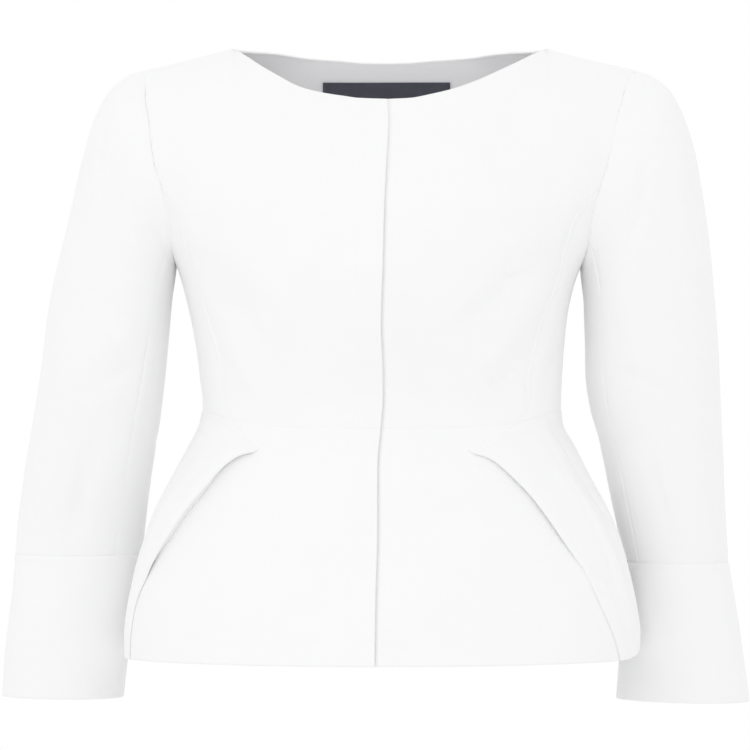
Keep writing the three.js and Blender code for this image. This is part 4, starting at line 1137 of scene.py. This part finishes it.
def sleeve(side):
    ring = sleeve_ring[side]
    last = SLEEVE[side]["ring"][-1]
    length = SLEEVE_SPAN["length"]
    at = rows_along(lambda angle, place: sleeve_point(side, angle, place), last, length)[None, :]
    front_seam, back_seam = SLEEVE_SEAM["front"], SLEEVE_SEAM["back"]
    seams = {"upper": (back_seam, front_seam + 2 * np.pi), "under": (front_seam, back_seam)}
    for part, (first, end) in seams.items():
        angle = lerp(first, end, spacing(SLEEVE_SPAN[part]))[:, None] + 0 * at
        place = at + 0 * angle
        points = eased(side, sleeve_point(side, angle, place))
        outside = points - ring_point(ring, side, place, angle + np.pi)
        height = fold_height(CREASES[f"sleeve_{side}"], np.degrees(angle) % 360, ring["outZ"](place))
        relief = height * smooth(place, *CREASE_START["sleeve"])
        cloth(f"sleeve_{part}_{side}", points, outside,
              {"first": PRESSED, "last": PRESSED, "start": PRESSED, "end": SEAM}, relief=relief)


def cuff(side):
    name = f"cuff_{side}"
    end = SLEEVE[side]["ring"][-1]
    ring = cuff_ring[side]
    angle = np.linspace(0, 2 * np.pi, CUFF_COLUMNS, endpoint=False)[:, None]
    at = spacing(CUFF_LENGTH)[None, :]
    turned = sleeve_angle(side, angle, end) + 0 * at
    points = ring_point(ring, side, at + 0 * angle, turned)
    outside = points - ring_point(ring, side, at + 0 * angle, turned + np.pi)
    relief = fold_height(CREASES[name], np.degrees(turned), ring["outZ"](at))
    roll = (at * CUFF_LENGTH - CUFF_ROLL["below"]) / CUFF_ROLL["reach"]
    relief = relief + CUFF_ROLL["height"] * np.exp(-(roll ** 2))
    cloth(name, points, outside, {"start": SEAM, "end": FREE}, loop=True,
          relief=relief, facing={"end": FACING["cuff"]})


def peplum_front(side):
    name, sign = f"peplum_front_{side}", SIGN[side]
    width, length = SPAN["peplum_front"]
    down = spacing(length)[None, :]
    offset, share, held = held_columns(np.array(FRONT_COLUMNS[side]), spacing(width, first=False))
    edge = front_edge(lerp(WAIST_FRONT, HEM, down))
    end = across_at(front_end(side, down)) * peplum[side](down) * sign
    inner = edge - (UNDERLAP if side == LEFT else 0)
    x = inner + sign * offset + share * (end - inner - sign * held)
    angle = -angle_of(np.abs(x) / peplum_half(x, down))
    down = down + 0 * angle
    past = x - edge
    lift = underlap(side, past)
    points = peplum_place(np.where(x < 0, -1, 1), angle, down, lift)
    if side == LEFT:
        # Pressed under at the waist just as the bodice is, so that the seam stays closed there
        seam = points[:, :1]
        meet = bodice_point("front", seam[..., 0], seam[..., 2] * 0 + WAIST_FRONT, lift[:, :1])
        share = (lift[:, :1] / -UNDERLAP_DROP) * (1 - smooth(down, 0, SEAM_EASE))
        points = points + (meet - seam) * share[..., None]
    creases = fold_height(CREASES[name], x, down * (HEM - WAIST_FRONT))
    cloth(name, points, OUT["front"], {"first": FREE, "last": FREE, "start": WAIST, "end": FREE},
          relief=creases * smooth(down, *CREASE_START["peplum_front"]) + placket(side, past),
          facing={"first": FACING["front edge"], "end": FACING["hem"]})


def peplum_side(side):
    width, length = SPAN["peplum_side"]
    column, row = spacing(width, first=False)[:, None], spacing(length)[None, :]
    start = FLAP[side]["share"][0]
    fold_down = lerp(start, 1, row)
    fold_angle = -angle_of(flap_fold[side](fold_down))
    angle = lerp(fold_angle, PEPLUM_BACK_SEAM, column)
    fold_top = flap_top(side, across_at(fold_angle))
    top = np.where(angle < 0, flap_top(side, across_at(angle)), 0)
    fold_row = (fold_down - fold_top) / (1 - fold_top)
    down = lerp(top, 1, lerp(fold_row, row + 0 * angle, smooth(column, 0, FLAP_BLEND)))
    raised = FLAP_RAISE * (1 - smooth(np.degrees(angle - front_end(side, down)), 0, FLAP_SETTLE))
    raised = raised * (1 - FLAP_SINK["share"] * smooth(down, *FLAP_SINK[side]))
    away = np.degrees(angle - fold_angle) / FLAP_LIFT_REACH
    arch = np.sin(np.pi * np.minimum(1, row / FLAP_STAND_END) ** FLAP_STAND_POWER)
    stand = raised + FLAP_LIFT[side] * arch * np.exp(-away * away)
    stand = stand * smooth((down - top) * (WAIST_FRONT - HEM), 0, FLAP_SEAM_RISE)
    x_sign = np.full_like(angle, SIGN[side])
    points = peplum_place(x_sign, angle, down, stand + peplum_lift(x_sign, angle, down))
    cloth(f"peplum_side_{side}", points, np.array([SIGN[side], -0.4, 0]),
          {"first": FREE, "last": PRESSED, "start": PRESSED, "end": FREE},
          relief=peplum_creases(x_sign, angle, down), ply=FLAP_PLY, lining_with_painted_light=False, fold=stand)


def peplum_back():
    width, length = SPAN["peplum_back"]
    share = spacing(width)[:, None] * 2 - 1
    angle = lerp(np.pi / 2, PEPLUM_BACK_SEAM, np.abs(share)) + 0 * spacing(length)
    down = spacing(length) + 0 * angle
    x_sign = np.where(share < 0, -1, 1) + 0 * down
    points = peplum_place(x_sign, angle, down, peplum_lift(x_sign, angle, down))
    cloth("peplum_back", points, OUT["back"],
          {"first": PRESSED, "last": PRESSED, "start": PRESSED, "end": FREE},
          relief=peplum_creases(x_sign, angle, down), facing={"end": FACING["hem"]})


def neck_label():
    columns, rows = LABEL_GRID
    x = lerp(LABEL["right"], LABEL["left"], np.linspace(0, 1, columns))[:, None]
    z = lerp(LABEL["top"], LABEL["bottom"], np.linspace(0, 1, rows))[None, :]
    x, z = x + 0 * z, z + 0 * x
    points = bodice_point("back", x, z)
    normals = grid_normals(points, OUT["back"])
    points = points - normals * (PLY + FACING_STEP + LABEL["clear"])
    cloth("neck_label", points, OUT["back"],
          {"first": FREE, "last": FREE, "start": FREE, "end": FREE}, ply=LABEL["thickness"], lining_with_painted_light=False,
          finish=LABEL_CLOTH)


back()
peplum_back()
neck_label()
for side in SIGN:
    front(side)
    side_panel(side)
    sleeve(side)
    cuff(side)
    peplum_front(side)
    peplum_side(side)

# Camera, light and floor

def camera():
    data = bpy.data.cameras.new("camera")
    data.sensor_width = SENSOR
    data.lens = SENSOR * CAMERA_DISTANCE / PICTURE_WIDTH
    data.clip_end = 100
    eye = bpy.data.objects.new("camera", data)
    eye.location = (PICTURE_CENTRE["x"] * MM, -CAMERA_DISTANCE * MM, PICTURE_CENTRE["z"] * MM)
    eye.rotation_euler = (math.pi / 2, 0, 0)
    bpy.context.scene.collection.objects.link(eye)
    bpy.context.scene.camera = eye


def soft_light(name, place, size, power):
    data = bpy.data.lights.new(name, "AREA")
    data.shape = "DISK"
    data.size = size
    data.energy = power
    lamp = bpy.data.objects.new(name, data)
    lamp.location = place
    lamp.rotation_euler = Vector(np.subtract(place, LIGHT_AIM)).to_track_quat("Z", "Y").to_euler()
    bpy.context.scene.collection.objects.link(lamp)


def studio():
    world = bpy.data.worlds.new("studio")
    world.use_nodes = True
    backdrop = world.node_tree.nodes["Background"]
    backdrop.inputs["Color"].default_value = (1, 1, 1, 1)
    backdrop.inputs["Strength"].default_value = WORLD
    bpy.context.scene.world = world
    bpy.context.scene.view_settings.view_transform = "Standard"
    for name, (place, size, power) in LIGHTS.items():
        soft_light(name, place, size, power)
    floor_mesh = bpy.data.meshes.new("floor")
    reach, level = FLOOR["reach"], FLOOR["level"]
    floor_mesh.from_pydata(
        [(-reach, -reach, level), (reach, -reach, level), (reach, reach, level), (-reach, reach, level)], [],
        [(0, 1, 2, 3)])
    floor = bpy.data.objects.new("floor", floor_mesh)
    finish = Finish("pale floor")
    floor_mesh.materials.append(finish.surface(Base_Color=(0.9, 0.9, 0.9, 1), Roughness=0.9))
    bpy.context.scene.collection.objects.link(floor)


camera()
studio()
